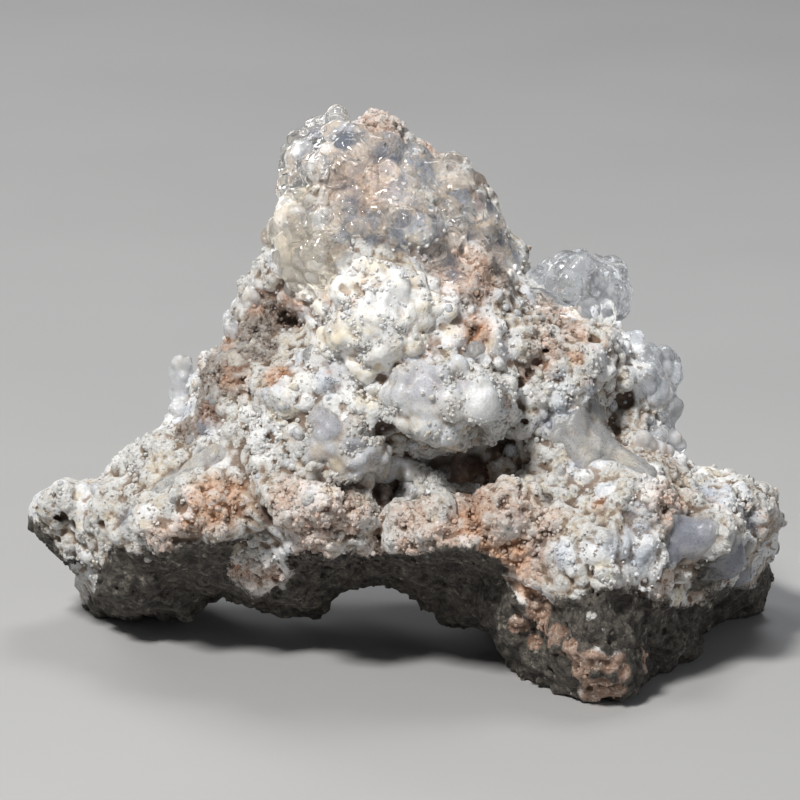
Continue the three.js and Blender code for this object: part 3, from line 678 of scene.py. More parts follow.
# Crumbly ledges: first column and row, last column and row, and half the width, in pixels
CRUMB_LINES = [
    ("edge ledge", 512, 596, 540, 612, 6), ("upper ledge", 538, 606, 562, 640, 7),
    ("middle ledge", 560, 646, 644, 656, 6), ("low ledge", 580, 674, 648, 664, 6),
    ("tan lump top", 228, 548, 290, 556, 8), ("tan lump foot", 236, 578, 288, 584, 6),
    ("tan lump middle", 230, 563, 294, 568, 8), ("ledge joint", 352, 518, 398, 526, 9),
    ("ledge joint low", 358, 545, 402, 552, 8), ("ledge top", 396, 499, 452, 497, 7),
    ("ledge joint right", 438, 547, 480, 542, 7), ("left ledge", 150, 548, 226, 545, 6),
    ("foot ledge", 586, 692, 632, 684, 6), ("ledge by the recess", 640, 590, 690, 600, 7),
]
CRUMBS_IN_LINE = 56
for label, first_column, first_row, last_column, last_row, half_width in CRUMB_LINES:
    for share in dice.random(CRUMBS_IN_LINE):
        column = first_column + share * (last_column - first_column) + half_width * dice.normal() / 2
        row = first_row + share * (last_row - first_row) + half_width * dice.normal() / 2
        hit, normal = seen_on("host_rock", column, row)
        knob_balls.append((hit + normal * 0.35, dice.uniform(0.35, 0.8)))

# Pits that show one by one: column, row and radius in pixels
PITS = [
    ("tip pit", 61, 515, 8), ("hole in the middle", 385, 428, 11), ("hole by the grapes", 623, 400, 12),
    ("orange pit", 474, 332, 5), ("its right", 480, 330, 4), ("ledge gap", 267, 515, 12),
    ("pit by the ledge", 342, 492, 10), ("left pit", 180, 505, 7), ("low pit", 625, 606, 12),
    ("right pit", 700, 545, 5), ("trench", 288, 318, 11), ("groove top", 546, 325, 4),
    ("groove", 548, 337, 4.5), ("groove middle", 546, 350, 5), ("groove low", 539, 363, 5),
    ("groove foot", 530, 374, 6), ("groove end", 520, 382, 5),
]
pit_balls = []
for hit, normal, size in placed(PITS, "host_rock"):
    pit_balls.append((hit + normal * size * PIT_RISE, size))
places, normals = scattered(rough_points, rough_faces, PIT_COUNT)[:2]
sheltered = np.maximum(zone_weight("film", places), on_peak(places))
for place, normal, size, glass in zip(places, normals, dice.uniform(0.3, 0.8, PIT_COUNT), sheltered):
    if glass < 0.2:
        pit_balls.append((place - normal * size * SPREAD_PIT_DEPTH, size))


def rock_field(low, high, step):
    """The rock's crumbly surface inside a box."""
    field = Field(low, high, step)
    field.take_mesh(rock_points, rock_triangles)
    field.blur(1)
    for centre, radius in rock_balls:
        field.ball(centre, radius, LUMP_FILLET)
    add_beds(field)
    for centre, radius in knob_balls:
        field.ball(centre, radius, KNOB_FILLET)
    for centre, radius in pit_balls:
        field.ball(centre, radius, PIT_FILLET, -1)
    chosen, cells = field.near(1.5)
    glassy = (1 - 0.97 * zone_weight("film", cells, 1.15)) * (1 - 0.6 * on_peak(cells))
    even = evenness(cells)
    crumbly = patchy(cells, 11.0, 9, 0.42, 6)
    under = bareness(cells)
    even *= 1 - under
    change = 0.26 * knobs(cells, 1.5, 11)
    change += 0.22 * knobs(cells, 0.9, 17)
    gritty = in_zones(cells, "pink", "tawny", "umber")
    change += 0.34 * gritty * knobs(cells, 1.2, 43)
    change *= 1 - 0.5 * under
    change += np.maximum(0.3 * crumbly, under) * (np.abs(cloud(cells, 1.7, 23, 2) - 0.5) - 0.1)
    change *= 1 - 0.75 * even
    change += 0.35 * even * knobs(cells, 3.0, 37)
    change += 0.9 * (cloud(cells, 4.0, 29, 2) - 0.5)
    field.values[chosen] -= change * glassy
    return field


# Beyond a seam: how far a piece reaches, and how steeply it dips
SEAM_TONGUE = 1.2
SEAM_SLOPE = 0.3
# How far above the floor everything ends
FLOOR_GAP = 0.03


def kept_side(field, axis, seam, sign):
    """Keeps one side of a seam; beyond it the surface dips under the neighbouring piece's."""
    beyond = sign * (field.axes[axis] - seam)
    shape = [1, 1, 1]
    shape[axis] = -1
    beyond = beyond.reshape(shape)
    field.values = field.values + SEAM_SLOPE * np.maximum(beyond, 0)
    field.values = np.maximum(field.values, beyond - SEAM_TONGUE)


def above_floor(field):
    """Cuts the rock off flat where it stands."""
    field.values = np.maximum(field.values, (FLOOR_GAP - field.axes[2])[None, None, :])


# Making objects from the fields
def object_from(name, points, faces):
    """A smooth-shaded mesh object, from millimetres."""
    mesh = bpy.data.meshes.new(name)
    mesh.vertices.add(len(points))
    mesh.vertices.foreach_set("co", (points * MILLIMETRE).astype(np.float32).ravel())
    mesh.loops.add(faces.size)
    mesh.loops.foreach_set("vertex_index", faces.astype(np.int32).ravel())
    mesh.polygons.add(len(faces))
    mesh.polygons.foreach_set("loop_start", np.arange(0, faces.size, faces.shape[1], dtype=np.int32))
    mesh.update(calc_edges=True)
    mesh.shade_smooth()
    made = bpy.data.objects.new(name, mesh)
    bpy.context.scene.collection.objects.link(made)
    return made


def add_channel(made, name, values):
    """Stores a number for each point, which the material reads."""
    channel = made.data.attributes.new(name, "FLOAT", "POINT")
    channel.data.foreach_set("value", np.clip(values, 0, 1).astype(np.float32))


def hollows(points, faces, passes, scale):
    """From 0 in crevices over 0.5 on even ground to 1 on tops."""
    normals = corner_normals(points, faces)
    lifted = ((points - evened(points, faces, passes)) * normals).sum(axis=1)
    return 0.5 + 0.5 * np.clip(lifted / scale, -1, 1)


COLOUR_KINDS = (
    "orange", "brown", "pink", "white", "pale", "film", "blue", "under", "waxy", "amber", "tawny", "umber",
    "pearl", "dark_reflection", "chalky", "creamy", "greyish", "dark",
)


def finish_rock(name, field):
    """Turns one part of the rock into a piece with its colour channels."""
    points, faces = field.surface()
    points = points.astype(np.float32)
    made = object_from(name, points, faces)
    broad_normals = evened(corner_normals(points, faces), faces, 60)
    # Faces turned downwards near the floor get the underside's painted shade, as do places below the crust's
    # edge
    below = np.clip((-broad_normals[:, 2] - 0.35) / 0.3, 0, 1) * np.clip((26 - points[:, 2]) / 8, 0, 1)
    warped = ragged(points, 2.2, 4.0, 51)
    under = np.maximum(bareness(points), below)
    for kind in COLOUR_KINDS:
        # The under channel carries where the underside's painted shade goes
        if kind == "under":
            weight = under
        elif kind == "waxy":
            weight = evenness(warped) * (1 - under)
        else:
            weight = zone_weight(kind, warped, 1.1)
        add_channel(made, kind, weight)
    add_channel(made, "peak", on_peak(warped, 1.2))
    add_channel(made, "fine_relief", hollows(points, faces, 5, 0.16))
    add_channel(made, "broad_relief", hollows(points, faces, 40, 0.7))
    return made


# The lattices of the rock's pieces, and where their seams lie
FRONT_STEP = 0.36
BACK_STEP = 0.55
SEAM_DEPTH = 5.0
SEAM_ACROSS = 3.0
LOW = rock_points.min(axis=0) - 2.5
HIGH = rock_points.max(axis=0) + 2.5
LOW[2] = -1.5

rock_pieces = []
front = rock_field(LOW, (HIGH[0], SEAM_DEPTH + 2, HIGH[2]), FRONT_STEP)
kept_side(front, 1, SEAM_DEPTH, 1)
above_floor(front)
whole_front = front.values
kept_side(front, 0, SEAM_ACROSS, 1)
rock_pieces.append(finish_rock("rock_front_left", front))
front.values = whole_front
kept_side(front, 0, SEAM_ACROSS, -1)
rock_pieces.append(finish_rock("rock_front_right", front))
back = rock_field((LOW[0], SEAM_DEPTH - 2, LOW[2]), HIGH, BACK_STEP)
kept_side(back, 1, SEAM_DEPTH, -1)
above_floor(back)
rock_pieces.append(finish_rock("rock_back", back))

# Globules of the growths that show one by one: column, row and radius in pixels
PEAK_GLOBULES = [
    ("nub", 335, 111, 10), ("nub foot", 334, 121, 10), ("finger", 295, 133, 6),
    ("finger foot", 296, 145, 6), ("second finger", 304, 130, 6), ("its foot", 305, 144, 7),
    ("third finger", 314, 126, 6), ("its middle", 314, 138, 7), ("fourth finger", 324, 130, 7),
    ("its foot", 325, 145, 7), ("small globule", 287, 159, 7), ("dark patch", 345, 145, 13),
    ("second dark patch", 378, 153, 14), ("milky globule", 297, 213, 14), ("clear globule", 325, 217, 10),
    ("cream drop", 384, 217, 9), ("lobe", 285, 238, 11), ("lobe middle", 284, 249, 10),
    ("lobe foot", 283, 259, 9), ("second lobe", 301, 240, 11), ("its middle", 302, 252, 11),
    ("its foot", 303, 265, 9), ("third lobe", 319, 243, 11), ("its foot", 320, 257, 9),
    ("fourth lobe", 336, 240, 10), ("its foot", 337, 253, 8), ("low lobe", 290, 275, 10),
    ("low right lobe", 311, 279, 9), ("left edge", 279, 228, 7), ("middle right", 350, 205, 9),
    ("middle", 340, 182, 12), ("right edge", 400, 175, 10), ("left side", 293, 180, 10),
    ("left side low", 287, 195, 8), ("big crest globule", 430, 175, 17),
    ("dark crest globule", 464, 177, 13), ("milky crest globule", 450, 213, 13),
    ("its foot", 451, 225, 13), ("bright crest globule", 481, 199, 9), ("rod", 470, 205, 7),
    ("rod foot", 471, 222, 7), ("second rod", 484, 212, 8), ("its foot", 485, 230, 8),
    ("third rod", 493, 222, 7), ("its foot", 495, 236, 6), ("lower globule", 447, 258, 7),
    ("lowest globule", 448, 280, 8),
]
SHOULDER_GLOBULES = [
    ("grey lobe", 536, 281, 16), ("grey lobe left", 526, 290, 10), ("top lobe", 579, 263, 16),
    ("body left", 569, 290, 18), ("body middle", 592, 285, 18), ("body right", 611, 290, 13),
    ("body low", 585, 312, 15), ("body low right", 606, 311, 13), ("right edge", 618, 302, 8),
    ("left low", 556, 300, 10), ("small globule", 622, 334, 8),
]
GRAPE_GLOBULES = [
    ("first grape", 641, 357, 14), ("second grape", 666, 353, 11), ("third grape", 643, 376, 10),
    ("fourth grape", 650, 389, 9), ("fifth grape", 667, 370, 10), ("sixth grape", 662, 391, 10),
    ("cone", 677, 408, 9), ("pearl", 641, 437, 12), ("second pearl", 660, 448, 10),
    ("third pearl", 677, 438, 8), ("fourth pearl", 680, 458, 8), ("seventh grape", 628, 343, 8),
    ("eighth grape", 655, 362, 8),
]
SHELF_GLOBULES = [
    ("left lobe", 401, 398, 14), ("second lobe", 424, 393, 16), ("middle lobe", 450, 400, 17),
    ("right lobe", 486, 398, 15), ("right low lobe", 476, 421, 14), ("low lobe", 445, 438, 13),
    ("low left lobe", 424, 430, 13), ("left low lobe", 404, 424, 11), ("right end", 500, 413, 9),
    ("drip", 459, 447, 7), ("second drip", 433, 447, 7), ("great right lobe", 483, 408, 21),
    ("great low lobe", 427, 427, 18), ("milky middle", 452, 410, 13),
]
SHELF_SKIN = [
    ("top left", 400, 378, 10), ("top", 424, 372, 10), ("top right", 448, 372, 10), ("right", 472, 374, 11),
    ("right end", 496, 382, 10), ("left", 386, 394, 8),
]
WHITE_GLOBULES = [
    ("top", 372, 268, 12), ("left", 340, 290, 13), ("right", 402, 285, 13), ("middle", 368, 305, 12),
    ("low left", 345, 325, 12), ("low right", 392, 325, 13), ("top right", 395, 262, 9),
]
WHITE_SKIN = [
    ("top", 362, 262, 10), ("right", 420, 284, 12), ("right low", 414, 312, 11), ("left", 322, 308, 11),
    ("left top", 318, 286, 9), ("flow right", 440, 306, 9),
]
WHITE_PITS = [
    ("first", 343, 288, 3), ("beside it", 348, 292, 2), ("second", 357, 288, 2), ("beside it", 362, 293, 3),
    ("third", 372, 257, 2),
]
SHELF_PITS = [
    ("first", 438, 441, 1), ("second", 447, 446, 1), ("third", 456, 441, 1), ("fourth", 466, 447, 1),
    ("fifth", 430, 436, 1), ("sixth", 451, 433, 1), ("notch", 469, 447, 7), ("notch top", 468, 438, 4),
    ("right notch", 513, 392, 6), ("left notch", 390, 428, 6),
]
FRINGE_GLOBULES = [
    ("cream globule", 302, 423, 11), ("milky lump", 318, 417, 13), ("its right", 332, 428, 12),
    ("its foot", 322, 436, 11), ("its top", 334, 410, 9), ("low globule", 318, 451, 9),
    ("next globule", 334, 460, 9), ("white-grey lump", 372, 466, 12), ("white globule", 396, 461, 9),
    ("hanging globule", 419, 482, 10), ("granular globule", 437, 485, 10), ("orange globule", 367, 415, 11),
    ("globule by the hole", 350, 440, 9), ("left end", 285, 436, 8),
]
FRINGE_SKIN = [
    ("milky lump", 322, 412, 12), ("top", 340, 402, 9),
]


class Growth:
    """What one growth is made of."""

    def __init__(self, nodes, step, count, sizes, blend, globules=(), skin=(), thickness=0.5, knob=0.0,
                 roughness=0.0, fillet=0.8, seat=0.45, pits=(), cracks=0.0, bumps=0.0, depth=0.4):
        self.nodes = nodes
        self.step = step
        self.count = count
        self.sizes = sizes
        self.blend = blend
        self.globules = globules
        self.skin = skin
        self.thickness = thickness
        self.knob = knob
        self.roughness = roughness
        self.fillet = fillet
        self.seat = seat
        self.pits = pits
        self.cracks = cracks
        self.bumps = bumps
        self.depth = depth


GROWTHS = {
    "peak_glass": Growth(
        ("peak_hyalite", "crest_hyalite"), 0.28, 260, (0.5, 1.6), 0.14, PEAK_GLOBULES, PEAK_SKIN, 1.2, 1.2,
        fillet=0.5, seat=-0.2, cracks=0.016, depth=0.55,
    ),
    "shoulder_glass": Growth(
        ("shoulder_hyalite",), 0.28, 50, (0.9, 1.8), 0.3, SHOULDER_GLOBULES, cracks=0.03,
    ),
    "grape_glass": Growth(("grape_hyalite",), 0.26, 40, (0.7, 1.3), 0.08, GRAPE_GLOBULES, seat=-0.15),
    "lower_blade_opal": Growth(("lower_blade",), 0.24, 26, (0.35, 0.8), 0.3, roughness=0.5, bumps=0.3),
    "upper_blade_opal": Growth(("upper_blade",), 0.24, 22, (0.35, 0.8), 0.3, roughness=0.5, bumps=0.3),
    "milky_shelf_opal": Growth(
        ("milky_shelf",), 0.3, 130, (0.6, 1.5), 0.12, SHELF_GLOBULES, SHELF_SKIN, 0.7, 0.4, 0.3, 2.2,
        seat=-0.1, pits=SHELF_PITS, bumps=0.15,
    ),
    "white_opal_mass": Growth(
        ("white_opal",), 0.3, 140, (0.4, 1.3), 0.4, WHITE_GLOBULES, WHITE_SKIN, 0.7, 0.4, 0.9, 2.2,
        pits=WHITE_PITS, bumps=0.2,
    ),
    "fringe_opal": Growth(
        ("fringe_globules",), 0.28, 110, (0.6, 1.2), 0.15, FRINGE_GLOBULES, FRINGE_SKIN, 0.5, 0.3, 0.4, 1.0,
        seat=0.2, bumps=0.3,
    ),
    "grey_glassy_films": Growth((), 0.32, 0, (0, 0), 0.3, (), GREY_FILMS, 0.5, 0.0, 0.25),
}
# How deep a skin's root lies in the rock, and how far the skin dips where it ends
SKIN_ROOT = 0.8
SKIN_DIP = 1.4
# How deep cracks start under the surface, and how wide the crumbly rim of a skin is
CRACK_DEPTH = 0.7
RIM_WIDTH = 0.6
# A loose part of a growth is kept when it has at least so many points
SMALLEST_PART = 80
# How many places are tried for each grain
TRIES_FOR_ONE = 5


def smooth_rock(field):
    """The rock with its lumps, without crumbs."""
    field.take_mesh(rock_points, rock_triangles)
    field.blur(2)
    for centre, radius in rock_balls:
        field.ball(centre, radius, SMOOTH_LUMP_FILLET)
    add_beds(field)
    field.blur(2)


def skin_rise(cells, spots, growth):
    """How far a skin stands above the rock; it is below zero where the skin has thinned out."""
    cover = np.zeros(len(cells), np.float32)
    shifted = ragged(cells, 2.4, 3.0, 71)
    for centre, normal, radius in spots:
        away = np.sqrt(((shifted - centre.astype(np.float32)) ** 2).sum(axis=1))
        cover = np.maximum(cover, 1 - away / (1.5 * radius))
    cover = np.clip(cover * 2.2, 0, 1)
    rise = growth.thickness * cover - SKIN_DIP * (1 - cover)
    if growth.knob:
        rise = rise + cover * growth.knob * knobs(cells, 4.4, 81, 0.4)
        rise = rise + cover * 0.3 * growth.knob * knobs(cells, 2.0, 87, 0.4)
    return rise + cover * 0.5 * min(1, growth.thickness) * (cloud(cells, 4.0, 91, 2) - 0.5)


def growth_piece(name, growth):
    """One growth with its globules and its skin, seated on the rock."""
    skin = placed(growth.skin, "host_rock")
    corners = [solids[node][0].min(axis=0) - 3 for node in growth.nodes]
    corners += [solids[node][0].max(axis=0) + 3 for node in growth.nodes]
    corners += [centre - radius - 2 for centre, normal, radius in skin]
    corners += [centre + radius + 2 for centre, normal, radius in skin]
    low = np.min(corners, axis=0)
    high = np.max(corners, axis=0)
    field = Field(low, high, growth.step)
    for node in growth.nodes:
        part = Field(low, high, growth.step)
        part.take_mesh(*solids[node])
        part.blur(3)
        field.values = np.minimum(field.values, part.values - np.float32(growth.seat))
    for label, column, row, radius in growth.globules:
        node = nearest_node(growth.nodes, column, row)
        hit, normal = seen_on(node, column, row)
        size = radius * PIXEL_SIZE
        field.ball(hit - normal * size * growth.depth, size, growth.blend)
    for node in growth.nodes:
        places, normals = scattered(*solids[node], growth.count // len(growth.nodes))[:2]
        standing = 0.3 * zone_weight("amber", places.astype(np.float32), 1.3)
        sizes = dice.uniform(*growth.sizes, len(places))
        for place, normal, size, lift in zip(places, normals, sizes, standing):
            field.ball(place - normal * (size * (0.45 - lift) - growth.seat), size, growth.blend)
    if skin:
        rock = Field(low, high, growth.step)
        smooth_rock(rock)
        chosen, cells = rock.near(2.3)
        rise = skin_rise(cells, skin, growth)
        thin = np.full(field.values.shape, BAND, np.float32)
        thin[chosen] = rock.values[chosen] - rise
        field.values = soft_lower(field.values, thin, np.float32(growth.fillet))
        field.values = np.maximum(field.values, -(rock.values + SKIN_ROOT))
    if growth.roughness:
        chosen, cells = field.near(1.6)
        change = growth.roughness * (cloud(cells, 3.2, 121) - 0.5)
        change += growth.roughness * 0.5 * knobs(cells, 1.4, 127)
        change += growth.bumps * knobs(cells, 2.1, 131)
        field.values[chosen] -= change
    for label, column, row, radius in growth.pits:
        hit, normal = seen_on(growth.nodes[0], column, row)
        field.ball(hit + normal * 0.2, radius * PIXEL_SIZE + 0.3, PIT_FILLET, -1)
    field.blur(1)
    if growth.cracks:
        chosen, cells = field.near(9.0)
        sheets = np.abs(cloud(cells, 6.0, 141, 2) - 0.5)
        ends = patchy(cells, 4.0, 151, 0.38, 12)
        inside = field.values[chosen] < -CRACK_DEPTH
        opened = inside * ends * np.clip((growth.cracks - sheets) / growth.cracks, 0, 1)
        field.values[chosen] = np.where(opened > 0, 0.5 * opened - 0.05, field.values[chosen])
    above_floor(field)
    points, faces = field.surface(SMALLEST_PART)
    made = object_from(name, points, faces)
    add_channel(made, "fine_relief", hollows(points, faces, 6, 0.14))
    add_channel(made, "broad_relief", hollows(points, faces, 40, 0.6))
    for kind in COLOUR_KINDS:
        add_channel(made, kind, zone_weight(kind, points, 1.1) if kind in zones else np.zeros(len(points)))
    if skin:
        away = rock.at(points) + 1.4 * (cloud(points, 2.0, 171, 2) - 0.5)
        add_channel(made, "rim", (RIM_WIDTH - away) / 0.5)
    return made


def nearest_node(nodes, column, row):
    """The growth's node that a pixel falls on, or the first one."""
    for node in nodes:
        if surfaces[node].ray_cast(Vector(EYE), Vector(towards(column, row)))[0] is not None:
            return node
    return nodes[0]


growths = {name: growth_piece(name, growth) for name, growth in GROWTHS.items()}


# Loose grains and small globules, joined in one mesh each
def grain_shape(divisions):
    """A ball of flat triangles, as points and triangles."""
    made = bmesh.new()
    bmesh.ops.create_icosphere(made, subdivisions=divisions, radius=1.0)
    points = np.array([vertex.co[:] for vertex in made.verts], np.float32)
    triangles = np.array([[vertex.index for vertex in face.verts] for face in made.faces], np.int32)
    made.free()
    return points, triangles


def turned_rows(count):
    """Random turns, one for each grain."""
    first = dice.normal(size=(count, 3))
    first /= np.linalg.norm(first, axis=1, keepdims=True)
    second = np.cross(first, dice.normal(size=(count, 3)))
    second /= np.linalg.norm(second, axis=1, keepdims=True)
    return np.stack([first, second, np.cross(first, second)], axis=1)


def grains(name, hosts, count, sizes, divisions, uneven, lift, chance_at, smooth=False):
    """Grains seated in the surface of the host pieces."""
    shape_points, shape_triangles = grain_shape(divisions)
    rows = []
    for host in hosts:
        points, faces = piece_numbers(host)
        channels = np.stack([channel_numbers(host, kind) for kind in COLOUR_KINDS], axis=1)
        places, normals, hit_faces = scattered(points, faces, TRIES_FOR_ONE * count)
        places = places.astype(np.float32)
        chosen = dice.random(len(places)) < chance_at(places, normals)
        below = channels[faces[hit_faces, 0]]
        rows.append(np.concatenate([places[chosen], normals[chosen], below[chosen]], axis=1))
    rows = np.concatenate(rows)
    rows = rows[dice.permutation(len(rows))[:count]]
    places = rows[:, :3]
    normals = rows[:, 3:6]
    count = len(places)
    size = sizes[0] + (sizes[1] - sizes[0]) * dice.random(count) ** 2
    stretch = dice.uniform(1 - uneven, 1 + uneven, (count, 1, 3))
    shaped = shape_points[None] * stretch * size[:, None, None]
    shaped = np.einsum("nij,njk->nik", shaped, turned_rows(count))
    shaped += (places + normals * (size * lift)[:, None])[:, None, :]
    points = shaped.reshape(-1, 3).astype(np.float32)
    points[:, 2] = np.maximum(points[:, 2], FLOOR_GAP)
    steps = np.arange(count, dtype=np.int32)[:, None, None] * len(shape_points)
    made = object_from(name, points, (shape_triangles[None] + steps).reshape(-1, 3))
    if not smooth:
        made.data.shade_flat()
    for kind, values in zip(COLOUR_KINDS, rows[:, 6:].T):
        add_channel(made, kind, np.repeat(values, len(shape_points)))
    add_channel(made, "fine_relief", np.full(len(points), 0.72))
    add_channel(made, "broad_relief", np.full(len(points), 0.55))
    return made


def channel_numbers(made, name):
    """A number stored on each point of a piece."""
    return numbers_of(made.data.attributes[name].data, "value", 1)[:, 0]


def piece_numbers(made):
    """A piece's points in millimetres and its faces."""
    points = numbers_of(made.data.vertices, "co", 3) / MILLIMETRE
    return points, numbers_of(made.data.loops, "vertex_index", 1, np.int32).reshape(-1, 4)


def grain_chance(places, normals):
    """Grains lie thick on the stained and powdery zones, and not on the films."""
    thick = np.maximum(in_zones(places, "pink", "orange"), 0.9 * zone_weight("white", places))
    thick = np.maximum(thick, 1.2 * zone_weight("umber", places))
    clumps = patchy(places, 3.5, 101, 0.42, 7, 3)
    chance = (0.12 + 0.6 * thick) * (0.25 + 0.75 * clumps)
    chance *= 1 - zone_weight("film", places, 1.2)
    chance *= 1 - on_peak(places)
    return chance * (1 - 0.7 * bareness(places))


def globule_chance(places, normals):
    """Small globules sit on the upper slopes and round the growths."""
    high = np.clip((places[:, 2] - 14) / 26, 0, 1)
    clumps = patchy(places, 6.0, 111, 0.5, 7)
    chance = high * clumps * (normals[:, 2] > -0.3) * (1 - on_peak(places))
    for kind in ("pink", "orange", "film", "tawny", "umber"):
        chance = chance * (1 - zone_weight(kind, places, 1.2))
    return chance


def crumb_chance(places, normals):
    """Crumbs of crust lie in patches on the opaque growths."""
    patches = patchy(places, 2.6, 181, 0.53, 9, 3)
    return patches * (1 - 0.9 * in_zones(places, "chalky", "greyish"))


CRUMBED = ("white_opal_mass", "milky_shelf_opal", "fringe_opal")
front_grains = grains(
    "front_grains", rock_pieces[:2], 7600, (0.16, 0.42), divisions=1, uneven=0.35, lift=0.25,
    chance_at=grain_chance,
)
back_grains = grains(
    "back_grains", rock_pieces[2:], 2800, (0.2, 0.5), divisions=1, uneven=0.35, lift=0.25,
    chance_at=grain_chance,
)
crumbs = grains(
    "growth_crumbs", [growths[name] for name in CRUMBED], 2400, (0.14, 0.38), divisions=1, uneven=0.4,
    lift=0.3, chance_at=crumb_chance,
)
small_globules = grains(
    "small_globules", rock_pieces, 300, (0.4, 1.0), divisions=2, uneven=0.2, lift=-0.2,
    chance_at=globule_chance, smooth=True,
)


# Materials
class Nodes:
    """Builds one node material."""

    def __init__(self, name):
        self.material = bpy.data.materials.new(name)
        self.material.use_nodes = True
        self.tree = self.material.node_tree
        self.shader = self.tree.nodes["Principled BSDF"]
        self.output = self.tree.nodes["Material Output"]
        self.place = self.tree.nodes.new("ShaderNodeTexCoord").outputs["Object"]

    def put(self, target, value):
        """Links an output to an input, or sets a plain value."""
        if isinstance(value, bpy.types.NodeSocket):
            self.tree.links.new(value, target)
        else:
            target.default_value = value

    def channel(self, name):
        """A number stored on the mesh."""
        node = self.tree.nodes.new("ShaderNodeAttribute")
        node.attribute_name = name
        return node.outputs["Fac"]

    def noise(self, size, detail=4.0, rough=0.6, seed=0.0):
        """Soft noise whose features are about size millimetres across."""
        node = self.tree.nodes.new("ShaderNodeTexNoise")
        node.noise_dimensions = "4D"
        self.put(node.inputs["Vector"], self.place)
        node.inputs["Scale"].default_value = 1 / (size * MILLIMETRE)
        node.inputs["Detail"].default_value = detail
        node.inputs["Roughness"].default_value = rough
        node.inputs["W"].default_value = seed
        return node.outputs["Fac"]

    def cells(self, size, feature="F1"):
        """Distance from the nearest point of a cell pattern, 0 to about 1."""
        node = self.tree.nodes.new("ShaderNodeTexVoronoi")
        node.feature = feature
        self.put(node.inputs["Vector"], self.place)
        node.inputs["Scale"].default_value = 1 / (size * MILLIMETRE)
        return node.outputs["Distance"]

    def math(self, kind, first, second=0.0, clamp=False):
        """One step of arithmetic."""
        node = self.tree.nodes.new("ShaderNodeMath")
        node.operation = kind
        node.use_clamp = clamp
        self.put(node.inputs[0], first)
        self.put(node.inputs[1], second)
        return node.outputs[0]

    def times(self, first, second, clamp=False):
        """The product of two numbers."""
        return self.math("MULTIPLY", first, second, clamp)

    def plus(self, first, second, clamp=False):
        """The sum of two numbers."""
        return self.math("ADD", first, second, clamp)

    def less(self, first, second):
        """The first number less the second."""
        return self.math("SUBTRACT", first, second)

    def ramp(self, value, low, high, first=0.0, last=1.0):
        """Carries a range to another range, softly and within its ends."""
        node = self.tree.nodes.new("ShaderNodeMapRange")
        node.interpolation_type = "SMOOTHSTEP"
        self.put(node.inputs["Value"], value)
        node.inputs["From Min"].default_value = low
        node.inputs["From Max"].default_value = high
        node.inputs["To Min"].default_value = first
        node.inputs["To Max"].default_value = last
        return node.outputs["Result"]

    def mix(self, share, first, second):
        """Mixes two colours."""
        node = self.tree.nodes.new("ShaderNodeMix")
        node.data_type = "RGBA"
        self.put(node.inputs[0], share)
        for socket, value in ((node.inputs[6], first), (node.inputs[7], second)):
            if isinstance(value, tuple):
                value = (*value, 1.0)
            self.put(socket, value)
        return node.outputs[2]

    def lay(self, colour, share, amount, new):
        """Lays a new colour over another, as much as a share and an amount say."""
        return self.mix(self.times(share, amount), colour, new)

    def shaded(self, colour, tone):
        """A colour made lighter or darker by a number."""
        row = self.tree.nodes.new("ShaderNodeCombineColor")
        for socket in row.inputs:
            self.put(socket, tone)
        product = self.mix(1.0, colour, row.outputs[0])
        product.node.blend_type = "MULTIPLY"
        return product

    def bump(self, height, depth, before=None):
        """Fine relief, depth in millimetres."""
        node = self.tree.nodes.new("ShaderNodeBump")
        node.inputs["Strength"].default_value = 1.0
        node.inputs["Distance"].default_value = depth * MILLIMETRE
        self.put(node.inputs["Height"], height)
        if before is not None:
            self.put(node.inputs["Normal"], before)
        return node.outputs["Normal"]

    def set(self, name, value):
        """Sets one of the shader's inputs."""
        if isinstance(value, tuple) and len(value) == 3 and "Color" in name:
            value = (*value, 1.0)
        self.put(self.shader.inputs[name], value)


WHITE = (0.76, 0.76, 0.74)
CHALK = (0.84, 0.84, 0.82)
CREAM = (0.74, 0.66, 0.54)
TAN = (0.50, 0.38, 0.28)
# A darker tan, painted as shade in broad hollows
HOLLOW_SHADE_TAN = (0.26, 0.18, 0.13)
SPECK = (0.29, 0.21, 0.15)
WAX_GREY = (0.58, 0.61, 0.66)
WAX_WHITE = (0.80, 0.81, 0.82)
WAX_CREAM = (0.76, 0.70, 0.57)
# The orange stain as it looks in painted shade, and as it looks lit
ORANGE = (0.52, 0.26, 0.14)
PEACH = (0.78, 0.50, 0.34)
RED_BROWN = (0.26, 0.14, 0.09)
DUSTY_BROWN = (0.44, 0.30, 0.22)
PINK = (0.73, 0.47, 0.35)
PINK_WHITE = (0.85, 0.72, 0.63)
AMBER = (0.46, 0.42, 0.35)
UMBER = (0.30, 0.22, 0.17)
UMBER_GREY = (0.39, 0.35, 0.32)
TAWNY = (0.30, 0.18, 0.12)
TAWNY_LIGHT = (0.48, 0.33, 0.25)
CORE_REFLECTION_GREY = (0.15, 0.17, 0.21)
CORE_TAN = (0.40, 0.33, 0.26)
CORE_GLINT = (0.66, 0.64, 0.60)
# Dark blue-grey of painted reflections under the glass
DARK_REFLECTION = (0.10, 0.12, 0.16)
FILM = (0.24, 0.24, 0.24)
BLUE = (0.46, 0.52, 0.62)
# The underside's painted shade, dark and lighter, and the pale flecks in it
UNDERSIDE_SHADE = (0.050, 0.044, 0.038)
UNDERSIDE_SHADE_LIGHT = (0.19, 0.17, 0.14)
UNDER_FLECK = (0.46, 0.41, 0.34)
